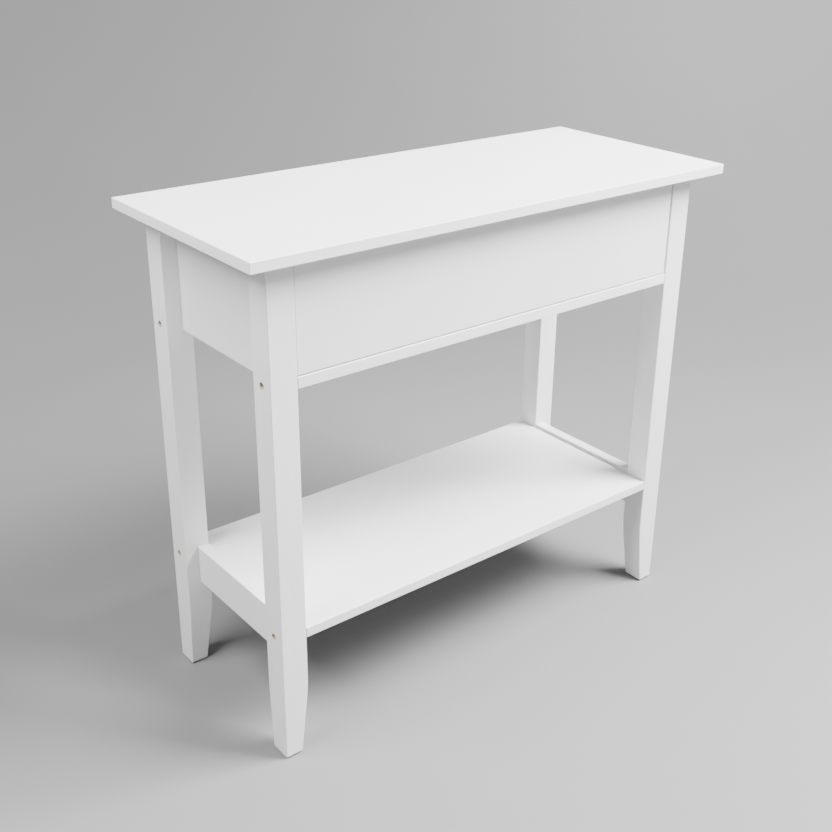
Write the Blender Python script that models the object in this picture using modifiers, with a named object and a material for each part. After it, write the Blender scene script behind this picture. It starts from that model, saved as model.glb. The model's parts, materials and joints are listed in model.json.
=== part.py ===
"""White console table with one inset drawer and a low shelf, built board by board.

Metres, +Z up. The origin is on the floor under the middle of the top board. +X is the length,
and -Y is the front, where the drawer opens.
"""
import math

import bmesh
import bpy
from mathutils import Matrix, Vector

# ---- driving dimensions -------------------------------------------------------------------
HEIGHT = 0.750
TOP_LENGTH = 0.844
TOP_DEPTH = 0.357
BOARD = 0.015              # table top, shelf, side, back and drawer front boards
FRAME_LENGTH = 0.769       # over the outer faces of the legs
FRAME_DEPTH = 0.310
FRAME_SETBACK = 0.007      # the top reaches further over the drawer than over the back
GAP = 0.0003               # between faces that touch on the real table
EASE = 0.0010              # rounding of the lacquered edges

LEG = 0.040
LEG_EASE = 0.0015
TAPER_START = 0.130
TAPER_INNER_X = 0.013
TAPER_INNER_Y = 0.006
TAPER_SOFT = 0.35          # share of the taper that is a soft curve

PANEL_BOTTOM = 0.5635
SIDE_RECESS = 0.024        # side panel behind the outer faces of the legs
RAIL_HEIGHT = 0.016
RAIL_DEPTH = 0.040

SHELF_TOP = 0.206
END_RAIL = 0.018
END_RAIL_RECESS = 0.0212
END_RAIL_BOTTOM = 0.150
END_RAIL_TOP = 0.212

GLIDE_HEIGHT = 0.002
GLIDE_RADIUS = 0.010
NAIL_RADIUS = 0.0009
NAIL_LENGTH = 0.013

COUNTERBORE_RADIUS = 0.0047
COUNTERBORE_DEPTH = 0.012
SCREW_SHANK = 0.0030
SCREW_HEAD = 0.0043
SCREW_HEAD_HEIGHT = 0.0025
SCREW_BITE = 0.030         # length of the screw inside the rail or shelf

DOWEL_RADIUS = 0.0040
DOWEL_IN_LEG = 0.012
DOWEL_IN_BOARD = 0.020
SIDE_DOWEL_LEVELS = {"lower": 0.600, "upper": 0.690}
BACK_DOWEL_LEVEL = 0.655
END_RAIL_DOWEL_LEVEL = 0.179

POCKET_ANGLE = math.radians(15)     # of the top screws, from upright
POCKET_RADIUS = 0.0046
POCKET_SHOULDER = 0.014             # along the screw, from the board's top edge
POCKET_LENGTH = 0.060
TOP_SCREW_BITE = 0.0110
TOP_SCREW_HEAD = 0.0040
TOP_SCREW_HEAD_HEIGHT = 0.0020
TOP_SCREW_SHANK = 0.0020
TOP_SCREW_PLACES = {"front": -0.065, "back": 0.080}

REVEAL_SIDE = {"left": 0.0005, "right": 0.0025}     # the front sits a little to the left
FRONT_INSET = 0.0010       # from the legs' faces back to the drawer front's face
REVEAL_BOTTOM = 0.0015
FINGER_GAP = 0.011         # between the drawer front and the top board
FINGER_CHAMFER = 0.008
DRAWER_BOARD = 0.012
DRAWER_SIDE_CLEARANCE = 0.012
DRAWER_SIDE_BOTTOM = 0.594
DRAWER_SIDE_TOP = 0.694
DRAWER_LENGTH = 0.250
DRAWER_FLOOR = 0.003
DRAWER_FLOOR_BOTTOM = 0.6025
GROOVE_SLACK = 0.0005
GROOVE_DEPTH = 0.006
DRAWER_DOWEL_LEVELS = {"lower": 0.626, "upper": 0.670}
DRAWER_DOWEL_RADIUS = 0.0030
DRAWER_DOWEL_IN_FRONT = 0.0080
DRAWER_DOWEL_IN_SIDE = 0.0160
DRAWER_BACK_INSET = 0.010  # from the ends of the drawer sides to the drawer back
HOUSING_DEPTH = 0.004      # of the drawer back in the drawer sides

SHEET = 0.0012             # pressed steel of the slides
SLIDE_BOTTOM = 0.5890
SLIDE_TOP = 0.6135
SLIDE_LIP = 0.0095         # how far the channel reaches from the leg
SLIDE_FRONT = -0.130
RUNNER_FOOT = 0.0100       # reach of the runner under the drawer side
RUNNER_FLANGE_END = 0.0032 # gap from the leg to the runner's upper flange
ROLLER_RADIUS = 0.0085
ROLLER_BORE = 0.00215
ROLLER_OUTER = 0.0040      # the roller's two faces, measured from the leg's inner face
ROLLER_INNER = 0.0088
PIN_RADIUS = 0.0020
PIN_HEAD = 0.0026
PIN_HEAD_HEIGHT = 0.0008
FRONT_ROLLER_Y = -0.120
REAR_ROLLER_Y = 0.105

# ---- dimensions that follow ---------------------------------------------------------------
LEG_OUTER_X = FRAME_LENGTH / 2
LEG_INNER_X = LEG_OUTER_X - LEG
FRONT_Y = FRAME_SETBACK - FRAME_DEPTH / 2
BACK_Y = FRAME_SETBACK + FRAME_DEPTH / 2
TOP_UNDERSIDE = HEIGHT - BOARD
FRAME_TOP = TOP_UNDERSIDE - GAP
RAIL_TOP = PANEL_BOTTOM + RAIL_HEIGHT
RAIL_LEVEL = PANEL_BOTTOM + RAIL_HEIGHT / 2
SHELF_LEVEL = SHELF_TOP - BOARD / 2
CROSS_HALF = LEG_INNER_X - GAP
FRONT_LEG_Y = FRONT_Y + LEG / 2
BACK_LEG_Y = BACK_Y - LEG / 2
BETWEEN_FRONT = FRONT_Y + LEG + GAP
BETWEEN_BACK = BACK_Y - LEG - GAP
SIDE_PANEL_X = LEG_OUTER_X - SIDE_RECESS - BOARD / 2
END_RAIL_X = LEG_OUTER_X - END_RAIL_RECESS - END_RAIL / 2
BACK_PANEL_Y = BACK_Y - BOARD / 2
DRAWER_FRONT_BACK = FRONT_Y + BOARD
DRAWER_OUTER_X = LEG_INNER_X - DRAWER_SIDE_CLEARANCE
DRAWER_INNER_X = DRAWER_OUTER_X - DRAWER_BOARD
DRAWER_SIDE_X = (DRAWER_OUTER_X + DRAWER_INNER_X) / 2
DRAWER_SIDE_FRONT = DRAWER_FRONT_BACK + GAP
DRAWER_SIDE_BACK = DRAWER_SIDE_FRONT + DRAWER_LENGTH
GROOVE_LOW = DRAWER_FLOOR_BOTTOM - GROOVE_SLACK
GROOVE_HIGH = DRAWER_FLOOR_BOTTOM + DRAWER_FLOOR + GROOVE_SLACK
DRAWER_BACK_BACK = DRAWER_SIDE_BACK - DRAWER_BACK_INSET
DRAWER_BACK_FRONT = DRAWER_BACK_BACK - DRAWER_BOARD
REAR_ROLLER_Z = SLIDE_BOTTOM + SHEET + GAP + ROLLER_RADIUS
FRONT_ROLLER_Z = REAR_ROLLER_Z + 0.0005
RUNNER_FLANGE_Z = FRONT_ROLLER_Z + ROLLER_RADIUS + GAP
RUNNER_BOTTOM = DRAWER_SIDE_BOTTOM - GAP - SHEET

X_AXIS = Vector((1, 0, 0))
Y_AXIS = Vector((0, 1, 0))
Z_AXIS = Vector((0, 0, 1))
SIDES = {"left": -1, "right": 1}
ENDS = {"front": True, "back": False}

for old in list(bpy.data.objects):
    bpy.data.objects.remove(old)

PARTS = bpy.data.collections.new("console_table")
CUTTERS = bpy.data.collections.new("cutters")
bpy.context.scene.collection.children.link(PARTS)
bpy.context.scene.collection.children.link(CUTTERS)


# ---- materials ----------------------------------------------------------------------------
def make_material(name, colour, roughness, metallic=0.0):
    material = bpy.data.materials.new(name)
    material.use_nodes = True
    shader = material.node_tree.nodes["Principled BSDF"]
    shader.inputs["Base Color"].default_value = (*colour, 1.0)
    shader.inputs["Roughness"].default_value = roughness
    shader.inputs["Metallic"].default_value = metallic
    material.diffuse_color = (*colour, 1.0)
    return material


LACQUER = make_material("white_lacquer", (0.83, 0.83, 0.82), 0.35)
HARDBOARD = make_material("hardboard", (0.80, 0.79, 0.76), 0.60)
BEECH = make_material("beech_dowel", (0.66, 0.47, 0.29), 0.70)
ZINC = make_material("zinc_steel", (0.62, 0.63, 0.65), 0.35, 1.0)
RUNNER_STEEL = make_material("white_runner", (0.80, 0.80, 0.79), 0.45)
NYLON = make_material("white_nylon", (0.86, 0.85, 0.82), 0.50)
GLIDE_PLASTIC = make_material("glide_plastic", (0.23, 0.22, 0.21), 0.60)


# ---- small tools --------------------------------------------------------------------------
def add_object(name, mesh, material, collection=PARTS):
    obj = bpy.data.objects.new(name, mesh)
    collection.objects.link(obj)
    if material is not None:
        mesh.materials.append(material)
    return obj


def box_mesh(name, size):
    shape = bmesh.new()
    bmesh.ops.create_cube(shape, size=1.0)
    bmesh.ops.scale(shape, vec=size, verts=shape.verts)
    mesh = bpy.data.meshes.new(name)
    shape.to_mesh(mesh)
    shape.free()
    return mesh


def ease_edges(obj, width=EASE, segments=2):
    bevel = obj.modifiers.new("eased_edges", "BEVEL")
    bevel.width = width
    bevel.segments = segments
    bevel.limit_method = "ANGLE"
    bevel.angle_limit = math.radians(40)


def board(name, low, high, material=LACQUER, ease=EASE):
    low = Vector(low)
    high = Vector(high)
    obj = add_object(name, box_mesh(name, high - low), material)
    obj.location = (low + high) / 2
    if ease:
        ease_edges(obj, ease)
    return obj


def along(axis, place):
    """Matrix that turns local +Z onto an axis and moves the origin to a place."""
    return Matrix.Translation(place) @ Z_AXIS.rotation_difference(axis).to_matrix().to_4x4()


def turned_mesh(name, profile, steps):
    """Closed turned shape. The profile is (radius, height) pairs from the top down."""
    outline = bpy.data.meshes.new(name)
    edges = [(i, i + 1) for i in range(len(profile) - 1)]
    outline.from_pydata([(radius, 0.0, height) for radius, height in profile], edges, [])
    blank = bpy.data.objects.new(name, outline)
    PARTS.objects.link(blank)
    screw = blank.modifiers.new("turn", "SCREW")
    screw.steps = steps
    screw.render_steps = steps
    screw.use_merge_vertices = True
    screw.merge_threshold = 0.00001
    depsgraph = bpy.context.evaluated_depsgraph_get()
    mesh = bpy.data.meshes.new_from_object(blank.evaluated_get(depsgraph))
    bpy.data.objects.remove(blank)
    return mesh


def pin_profile(stations):
    """Profile of a solid turned piece from (radius, height) steps, closed on the axis."""
    return [(0.0, stations[0][1]), *stations, (0.0, stations[-1][1])]


def group_mesh(name, template, placements):
    """One mesh with a separate copy of the template at every placement matrix."""
    shape = bmesh.new()
    for matrix in placements:
        copy = template.copy()
        copy.transform(matrix)
        shape.from_mesh(copy)
        bpy.data.meshes.remove(copy)
    mesh = bpy.data.meshes.new(name)
    shape.to_mesh(mesh)
    shape.free()
    return mesh


def piece(name, template, matrix, material):
    """A named piece that shares the template's shape, put in place by a matrix."""
    mesh = template.copy()
    mesh.shade_smooth()
    mesh.set_sharp_from_angle(angle=math.radians(35))
    obj = add_object(name, mesh, material)
    obj.matrix_world = matrix
    return obj


def cut(obj, template, placements, operation="DIFFERENCE"):
    """Cut copies of a closed template out of an object, or join them to it with UNION."""
    label = obj.name + "_cutter"
    cutter = add_object(label, group_mesh(label, template, placements), None, CUTTERS)
    cutter.display_type = "WIRE"
    cutter.hide_render = True
    boolean = obj.modifiers.new("cut", "BOOLEAN")
    boolean.operation = operation
    boolean.solver = "EXACT"
    boolean.object = cutter


def rod_mesh(name, radius, start, stop, steps=16):
    return turned_mesh(name, pin_profile([(radius, stop), (radius, start)]), steps)


# ---- legs ---------------------------------------------------------------------------------
def taper_share(depth_share):
    """Share of the full taper reached at a share of the way down, soft at its start."""
    scale = 1.0 - TAPER_SOFT / 2
    if depth_share < TAPER_SOFT:
        return depth_share ** 2 / (2 * TAPER_SOFT) / scale
    return (depth_share - TAPER_SOFT / 2) / scale


def leg_mesh(name, side, front):
    """Square leg around its own centre line, tapered on the two faces that look inwards."""
    low = GLIDE_HEIGHT + GAP
    shape = bmesh.new()
    bmesh.ops.create_cube(shape, size=1.0)
    bmesh.ops.scale(shape, vec=(LEG, LEG, FRAME_TOP - low), verts=shape.verts)
    bmesh.ops.translate(shape, vec=(0, 0, (FRAME_TOP + low) / 2), verts=shape.verts)
    for share in (0.0, 0.12, 0.24, TAPER_SOFT):
        level = TAPER_START - share * (TAPER_START - low)
        geometry = shape.verts[:] + shape.edges[:] + shape.faces[:]
        bmesh.ops.bisect_plane(shape, geom=geometry, plane_co=(0, 0, level), plane_no=Z_AXIS)
    inward_x = -side
    inward_y = 1 if front else -1
    for vert in shape.verts:
        share = taper_share(max(0.0, (TAPER_START - vert.co.z) / (TAPER_START - low)))
        if vert.co.x * inward_x > 0:
            vert.co.x -= inward_x * TAPER_INNER_X * share
        if vert.co.y * inward_y > 0:
            vert.co.y -= inward_y * TAPER_INNER_Y * share
    mesh = bpy.data.meshes.new(name)
    shape.to_mesh(mesh)
    shape.free()
    return mesh


def foot_centre(side, front):
    inward_y = 1 if front else -1
    leg_y = FRONT_LEG_Y if front else BACK_LEG_Y
    x = side * (LEG_OUTER_X - LEG / 2 + TAPER_INNER_X / 2)
    return Vector((x, leg_y - inward_y * TAPER_INNER_Y / 2, 0.0))


def make_leg(side_name, front):
    side = SIDES[side_name]
    end = "front" if front else "back"
    leg_y = FRONT_LEG_Y if front else BACK_LEG_Y
    inward_y = 1 if front else -1
    name = f"leg_{end}_{side_name}"
    leg = add_object(name, leg_mesh(name, side, front), LACQUER)
    leg.location = (side * (LEG_OUTER_X - LEG / 2), leg_y, 0.0)
    ease_edges(leg, LEG_EASE)

    # Stepped screw holes from the outer face, level with the rail and the shelf.
    stepped = turned_mesh("screw_hole", pin_profile([
        (COUNTERBORE_RADIUS, 0.002),
        (COUNTERBORE_RADIUS, -COUNTERBORE_DEPTH),
        (SCREW_SHANK + GAP, -COUNTERBORE_DEPTH),
        (SCREW_SHANK + GAP, -LEG - 0.002),
    ]), 20)
    outer = X_AXIS * side
    levels = (RAIL_LEVEL, SHELF_LEVEL)
    cut(leg, stepped, [along(outer, (side * LEG_OUTER_X, leg_y, z)) for z in levels])

    # Blind dowel holes in the face that looks along the depth of the table.
    hole = rod_mesh("dowel_hole", DOWEL_RADIUS + GAP, -DOWEL_IN_LEG - GAP, 0.002)
    face_y = leg_y + inward_y * LEG / 2
    places = [(side * SIDE_PANEL_X, face_y, z) for z in SIDE_DOWEL_LEVELS.values()]
    places.append((side * END_RAIL_X, face_y, END_RAIL_DOWEL_LEVEL))
    cut(leg, hole, [along(Y_AXIS * inward_y, place) for place in places])

    if not front:
        place = (side * LEG_INNER_X, BACK_PANEL_Y, BACK_DOWEL_LEVEL)
        cut(leg, hole, [along(-outer, place)])

    nail_hole = rod_mesh("nail_hole", NAIL_RADIUS + GAP, -0.002, NAIL_LENGTH + 0.001, 10)
    base = foot_centre(side, front) + Vector((0, 0, GLIDE_HEIGHT))
    cut(leg, nail_hole, [Matrix.Translation(base)])


# ---- fixed boards -------------------------------------------------------------------------
def top_screw_placement(side, y):
    """Upright pocket screw, leaning outwards, where it crosses the board's top edge."""
    lean = Vector((side * math.sin(POCKET_ANGLE), 0, math.cos(POCKET_ANGLE)))
    return along(lean, (side * SIDE_PANEL_X, y, FRAME_TOP))


def make_top():
    top = board(
        "table_top",
        (-TOP_LENGTH / 2, -TOP_DEPTH / 2, TOP_UNDERSIDE),
        (TOP_LENGTH / 2, TOP_DEPTH / 2, HEIGHT),
    )
    hole = rod_mesh("top_hole", TOP_SCREW_SHANK + GAP, -0.004, TOP_SCREW_BITE + 0.0006, 14)
    placements = []
    for side in SIDES.values():
        placements += [top_screw_placement(side, y) for y in TOP_SCREW_PLACES.values()]
    cut(top, hole, placements)


def cut_end_dowels(obj, x, levels):
    """Dowel holes in the two ends of a board that runs from front leg to back leg."""
    hole = rod_mesh("end_hole", DOWEL_RADIUS + GAP, -DOWEL_IN_BOARD - GAP, 0.002)
    ends = ((BETWEEN_FRONT, -Y_AXIS), (BETWEEN_BACK, Y_AXIS))
    cut(obj, hole, [along(out, (x, y, z)) for y, out in ends for z in levels])


def make_side_panel(side_name):
    side = SIDES[side_name]
    middle = side * SIDE_PANEL_X
    panel = board(
        f"side_panel_{side_name}",
        (middle - BOARD / 2, BETWEEN_FRONT, PANEL_BOTTOM),
        (middle + BOARD / 2, BETWEEN_BACK, FRAME_TOP),
    )
    cut_end_dowels(panel, middle, SIDE_DOWEL_LEVELS.values())
    pocket = turned_mesh("pocket", pin_profile([
        (TOP_SCREW_SHANK + GAP, 0.004),
        (TOP_SCREW_SHANK + GAP, -POCKET_SHOULDER),
        (POCKET_RADIUS, -POCKET_SHOULDER),
        (POCKET_RADIUS, -POCKET_SHOULDER - POCKET_LENGTH),
    ]), 20)
    cut(panel, pocket, [top_screw_placement(side, y) for y in TOP_SCREW_PLACES.values()])


def make_end_rail(side_name):
    middle = SIDES[side_name] * END_RAIL_X
    rail = board(
        f"end_rail_{side_name}",
        (middle - END_RAIL / 2, BETWEEN_FRONT, END_RAIL_BOTTOM),
        (middle + END_RAIL / 2, BETWEEN_BACK, END_RAIL_TOP),
    )
    cut_end_dowels(rail, middle, [END_RAIL_DOWEL_LEVEL])


def cut_cross_screws(obj, level, rows):
    """Screw holes in both ends of a board that spans between the legs."""
    hole = rod_mesh("cross_hole", SCREW_SHANK + GAP, -SCREW_BITE - 0.001, 0.002)
    placements = []
    for side in SIDES.values():
        for y in rows:
            placements.append(along(X_AXIS * side, (side * CROSS_HALF, y, level)))
    cut(obj, hole, placements)


def make_cross_rail(name, low_y, high_y):
    rail = board(name, (-CROSS_HALF, low_y, PANEL_BOTTOM), (CROSS_HALF, high_y, RAIL_TOP))
    cut_cross_screws(rail, RAIL_LEVEL, [(low_y + high_y) / 2])


def make_back_panel():
    panel = board(
        "back_panel",
        (-CROSS_HALF, BACK_Y - BOARD, RAIL_TOP + GAP),
        (CROSS_HALF, BACK_Y, FRAME_TOP),
    )
    hole = rod_mesh("end_hole", DOWEL_RADIUS + GAP, -DOWEL_IN_BOARD - GAP, 0.002)
    placements = []
    for side in SIDES.values():
        place = (side * CROSS_HALF, BACK_PANEL_Y, BACK_DOWEL_LEVEL)
        placements.append(along(X_AXIS * side, place))
    cut(panel, hole, placements)


def make_shelf():
    shelf = board(
        "shelf",
        (-CROSS_HALF, FRONT_Y, SHELF_TOP - BOARD),
        (CROSS_HALF, BACK_Y, SHELF_TOP),
    )
    cut_cross_screws(shelf, SHELF_LEVEL, [FRONT_LEG_Y, BACK_LEG_Y])


# ---- fasteners of the frame ---------------------------------------------------------------
def make_frame_screws():
    """Flush screws, deep in the legs' counterbores."""
    head_low = COUNTERBORE_DEPTH - GAP
    tip = LEG + GAP + SCREW_BITE
    screw = turned_mesh("frame_screw", pin_profile([
        (SCREW_HEAD, SCREW_HEAD_HEIGHT - head_low),
        (SCREW_HEAD, -head_low),
        (SCREW_SHANK, -head_low),
        (SCREW_SHANK, 0.004 - tip),
        (SCREW_SHANK * 0.4, -tip),
    ]), 16)
    for side_name, side in SIDES.items():
        for end, y in (("front", FRONT_LEG_Y), ("back", BACK_LEG_Y)):
            for level, z in (("rail", RAIL_LEVEL), ("shelf", SHELF_LEVEL)):
                matrix = along(X_AXIS * side, (side * LEG_OUTER_X, y, z))
                piece(f"{level}_screw_{end}_{side_name}", screw, matrix, ZINC)


def make_top_screws():
    """Pan head screws in the side panels' pockets, up into the table top."""
    screw = turned_mesh("top_screw", pin_profile([
        (0.0006, TOP_SCREW_BITE),
        (TOP_SCREW_SHANK, TOP_SCREW_BITE - 0.003),
        (TOP_SCREW_SHANK, -POCKET_SHOULDER - GAP),
        (TOP_SCREW_HEAD, -POCKET_SHOULDER - GAP),
        (TOP_SCREW_HEAD, -POCKET_SHOULDER - TOP_SCREW_HEAD_HEIGHT / 2),
        (TOP_SCREW_HEAD * 0.7, -POCKET_SHOULDER - TOP_SCREW_HEAD_HEIGHT),
    ]), 16)
    for side_name, side in SIDES.items():
        for end, y in TOP_SCREW_PLACES.items():
            matrix = top_screw_placement(side, y)
            piece(f"top_screw_{end}_{side_name}", screw, matrix, ZINC)


def dowel_mesh(radius, first, second):
    """Dowel with chamfered ends that reaches from -first to +second."""
    chamfer = radius * 0.25
    return turned_mesh("dowel", pin_profile([
        (radius - chamfer, second),
        (radius, second - chamfer),
        (radius, chamfer - first),
        (radius - chamfer, -first),
    ]), 16)


def make_frame_dowels():
    dowel = dowel_mesh(DOWEL_RADIUS, DOWEL_IN_LEG, DOWEL_IN_BOARD)
    joints = (("front", FRONT_Y + LEG, Y_AXIS), ("back", BACK_Y - LEG, -Y_AXIS))
    for side_name, side in SIDES.items():
        for end, y, inwards in joints:
            for level, z in SIDE_DOWEL_LEVELS.items():
                name = f"side_panel_dowel_{end}_{side_name}_{level}"
                piece(name, dowel, along(inwards, (side * SIDE_PANEL_X, y, z)), BEECH)
            place = (side * END_RAIL_X, y, END_RAIL_DOWEL_LEVEL)
            piece(f"end_rail_dowel_{end}_{side_name}", dowel, along(inwards, place), BEECH)
        place = (side * LEG_INNER_X, BACK_PANEL_Y, BACK_DOWEL_LEVEL)
        matrix = along(-X_AXIS * side, place)
        piece(f"back_panel_dowel_{side_name}", dowel, matrix, BEECH)


def make_glides():
    glide = turned_mesh("glide", pin_profile([
        (NAIL_RADIUS * 0.3, GLIDE_HEIGHT + NAIL_LENGTH),
        (NAIL_RADIUS, GLIDE_HEIGHT + NAIL_LENGTH - 0.002),
        (NAIL_RADIUS, GLIDE_HEIGHT),
        (GLIDE_RADIUS, GLIDE_HEIGHT),
        (GLIDE_RADIUS, 0.0006),
        (GLIDE_RADIUS - 0.0006, 0.0),
    ]), 24)
    for side_name, side in SIDES.items():
        for end, front in ENDS.items():
            matrix = Matrix.Translation(foot_centre(side, front))
            piece(f"floor_glide_{end}_{side_name}", glide, matrix, GLIDE_PLASTIC)


# ---- drawer -------------------------------------------------------------------------------
CARRIAGE = bpy.data.objects.new("drawer_carriage", None)
PARTS.objects.link(CARRIAGE)
CARRIAGE.location = (0.0, FRONT_Y, REAR_ROLLER_Z)


def hang_on_carriage(obj):
    obj.parent = CARRIAGE
    obj.matrix_parent_inverse = Matrix.Translation(-CARRIAGE.location)


def groove(obj, low, high):
    """Cut a box-shaped groove between two corners."""
    shape = box_mesh("groove", Vector(high) - Vector(low))
    cut(obj, shape, [Matrix.Translation((Vector(low) + Vector(high)) / 2)])


def make_drawer_front():
    top = TOP_UNDERSIDE - FINGER_GAP
    front = board(
        "drawer_front",
        (REVEAL_SIDE["left"] - LEG_INNER_X, FRONT_Y + FRONT_INSET, RAIL_TOP + REVEAL_BOTTOM),
        (LEG_INNER_X - REVEAL_SIDE["right"], DRAWER_FRONT_BACK, top),
    )
    side = FINGER_CHAMFER * math.sqrt(2)
    wedge = box_mesh("finger_wedge", (FRAME_LENGTH, side, side))
    turn = Matrix.Rotation(math.radians(45), 4, "X")
    cut(front, wedge, [Matrix.Translation((0, DRAWER_FRONT_BACK, top)) @ turn])
    groove_half = DRAWER_INNER_X + GROOVE_DEPTH
    groove(
        front,
        (-groove_half, DRAWER_FRONT_BACK - GROOVE_DEPTH, GROOVE_LOW),
        (groove_half, DRAWER_FRONT_BACK + 0.002, GROOVE_HIGH),
    )
    depth = DRAWER_DOWEL_IN_FRONT + 0.0005
    hole = rod_mesh("dowel_hole", DRAWER_DOWEL_RADIUS + GAP, -depth, 0.002, 14)
    placements = []
    for side in SIDES.values():
        for z in DRAWER_DOWEL_LEVELS.values():
            place = (side * DRAWER_SIDE_X, DRAWER_FRONT_BACK, z)
            placements.append(along(Y_AXIS, place))
    cut(front, hole, placements)
    hang_on_carriage(front)


def make_drawer_side(side_name):
    side = SIDES[side_name]
    middle = side * DRAWER_SIDE_X
    panel = board(
        f"drawer_side_{side_name}",
        (middle - DRAWER_BOARD / 2, DRAWER_SIDE_FRONT, DRAWER_SIDE_BOTTOM),
        (middle + DRAWER_BOARD / 2, DRAWER_SIDE_BACK, DRAWER_SIDE_TOP),
        ease=EASE * 0.7,
    )
    inner = side * DRAWER_INNER_X
    low_x, high_x = sorted((inner + side * GROOVE_DEPTH, inner - side * 0.002))
    groove(
        panel,
        (low_x, DRAWER_SIDE_FRONT - 0.002, GROOVE_LOW),
        (high_x, DRAWER_SIDE_BACK + 0.002, GROOVE_HIGH),
    )
    low_x, high_x = sorted((inner + side * HOUSING_DEPTH, inner - side * 0.002))
    groove(
        panel,
        (low_x, DRAWER_BACK_FRONT - GAP, GROOVE_HIGH - 0.001),
        (high_x, DRAWER_BACK_BACK + GAP, DRAWER_SIDE_TOP + 0.002),
    )
    depth = DRAWER_DOWEL_IN_SIDE + 0.0005
    hole = rod_mesh("dowel_hole", DRAWER_DOWEL_RADIUS + GAP, -depth, 0.002, 14)
    places = [(middle, DRAWER_SIDE_FRONT, z) for z in DRAWER_DOWEL_LEVELS.values()]
    cut(panel, hole, [along(-Y_AXIS, place) for place in places])
    hang_on_carriage(panel)


def make_drawer_back():
    half = DRAWER_INNER_X + HOUSING_DEPTH - GAP
    back = board(
        "drawer_back",
        (-half, DRAWER_BACK_FRONT, GROOVE_HIGH),
        (half, DRAWER_BACK_BACK, DRAWER_SIDE_TOP),
        ease=EASE * 0.7,
    )
    hang_on_carriage(back)


def make_drawer_floor():
    half = DRAWER_INNER_X + GROOVE_DEPTH - GROOVE_SLACK
    floor = board(
        "drawer_floor",
        (-half, DRAWER_FRONT_BACK - GROOVE_DEPTH + GROOVE_SLACK, DRAWER_FLOOR_BOTTOM),
        (half, DRAWER_SIDE_BACK, DRAWER_FLOOR_BOTTOM + DRAWER_FLOOR),
        material=HARDBOARD,
        ease=0.0,
    )
    hang_on_carriage(floor)


def make_drawer_dowels():
    dowel = dowel_mesh(DRAWER_DOWEL_RADIUS, DRAWER_DOWEL_IN_FRONT, DRAWER_DOWEL_IN_SIDE)
    for side_name, side in SIDES.items():
        for level, z in DRAWER_DOWEL_LEVELS.items():
            matrix = along(Y_AXIS, (side * DRAWER_SIDE_X, DRAWER_FRONT_BACK, z))
            name = f"drawer_dowel_{side_name}_{level}"
            hang_on_carriage(piece(name, dowel, matrix, BEECH))


# ---- slides -------------------------------------------------------------------------------
def from_leg(side, distance):
    """X of a point that lies a distance inwards of the leg's inner face."""
    return side * (LEG_INNER_X - distance)


def pressed_section(name, side, outline, low_y, high_y):
    """Bent sheet: an open outline of (distance from leg, level), given its thickness."""
    shape = bmesh.new()
    front = [shape.verts.new((from_leg(side, u), low_y, z)) for u, z in outline]
    edges = [shape.edges.new(pair) for pair in zip(front, front[1:])]
    swept = bmesh.ops.extrude_edge_only(shape, edges=edges)
    moved = [item for item in swept["geom"] if isinstance(item, bmesh.types.BMVert)]
    bmesh.ops.translate(shape, vec=(0, high_y - low_y, 0), verts=moved)
    bmesh.ops.recalc_face_normals(shape, faces=shape.faces)
    mesh = bpy.data.meshes.new(name)
    shape.to_mesh(mesh)
    shape.free()
    obj = add_object(name, mesh, RUNNER_STEEL)
    solid = obj.modifiers.new("sheet", "SOLIDIFY")
    solid.thickness = SHEET
    solid.offset = 0.0
    solid.use_even_offset = True
    return obj


def make_cabinet_slide(side_name):
    """Channel on the leg and side panel, with the front roller's rivet fixed in its web."""
    side = SIDES[side_name]
    web = GAP + SHEET / 2
    low = SLIDE_BOTTOM + SHEET / 2
    high = SLIDE_TOP - SHEET / 2
    outline = [(SLIDE_LIP, low), (web, low), (web, high), (SLIDE_LIP, high)]
    channel = pressed_section(
        f"cabinet_slide_{side_name}", side, outline, SLIDE_FRONT, SLIDE_FRONT + DRAWER_LENGTH
    )
    rivet = turned_mesh("front_rivet", pin_profile([
        (PIN_HEAD, ROLLER_INNER + GAP + PIN_HEAD_HEIGHT),
        (PIN_HEAD, ROLLER_INNER + GAP),
        (PIN_RADIUS, ROLLER_INNER + GAP),
        (PIN_RADIUS, web),
    ]), 16)
    place = (side * LEG_INNER_X, FRONT_ROLLER_Y, FRONT_ROLLER_Z)
    cut(channel, rivet, [along(-X_AXIS * side, place)], "UNION")


def make_drawer_slide(side_name):
    """Runner under the drawer side, with the rear roller's rivet fixed in its web."""
    side = SIDES[side_name]
    web = DRAWER_SIDE_CLEARANCE - GAP - SHEET / 2
    low = RUNNER_BOTTOM + SHEET / 2
    high = RUNNER_FLANGE_Z + SHEET / 2
    outline = [(web + RUNNER_FOOT, low), (web, low), (web, high), (RUNNER_FLANGE_END, high)]
    runner = pressed_section(
        f"drawer_slide_{side_name}", side, outline, DRAWER_SIDE_FRONT, DRAWER_SIDE_BACK
    )
    rivet = turned_mesh("rear_rivet", pin_profile([
        (PIN_RADIUS, web),
        (PIN_RADIUS, ROLLER_OUTER - GAP),
        (PIN_HEAD, ROLLER_OUTER - GAP),
        (PIN_HEAD, ROLLER_OUTER - GAP - PIN_HEAD_HEIGHT),
    ]), 16)
    place = (side * LEG_INNER_X, REAR_ROLLER_Y, REAR_ROLLER_Z)
    cut(runner, rivet, [along(-X_AXIS * side, place)], "UNION")
    hang_on_carriage(runner)


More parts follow.
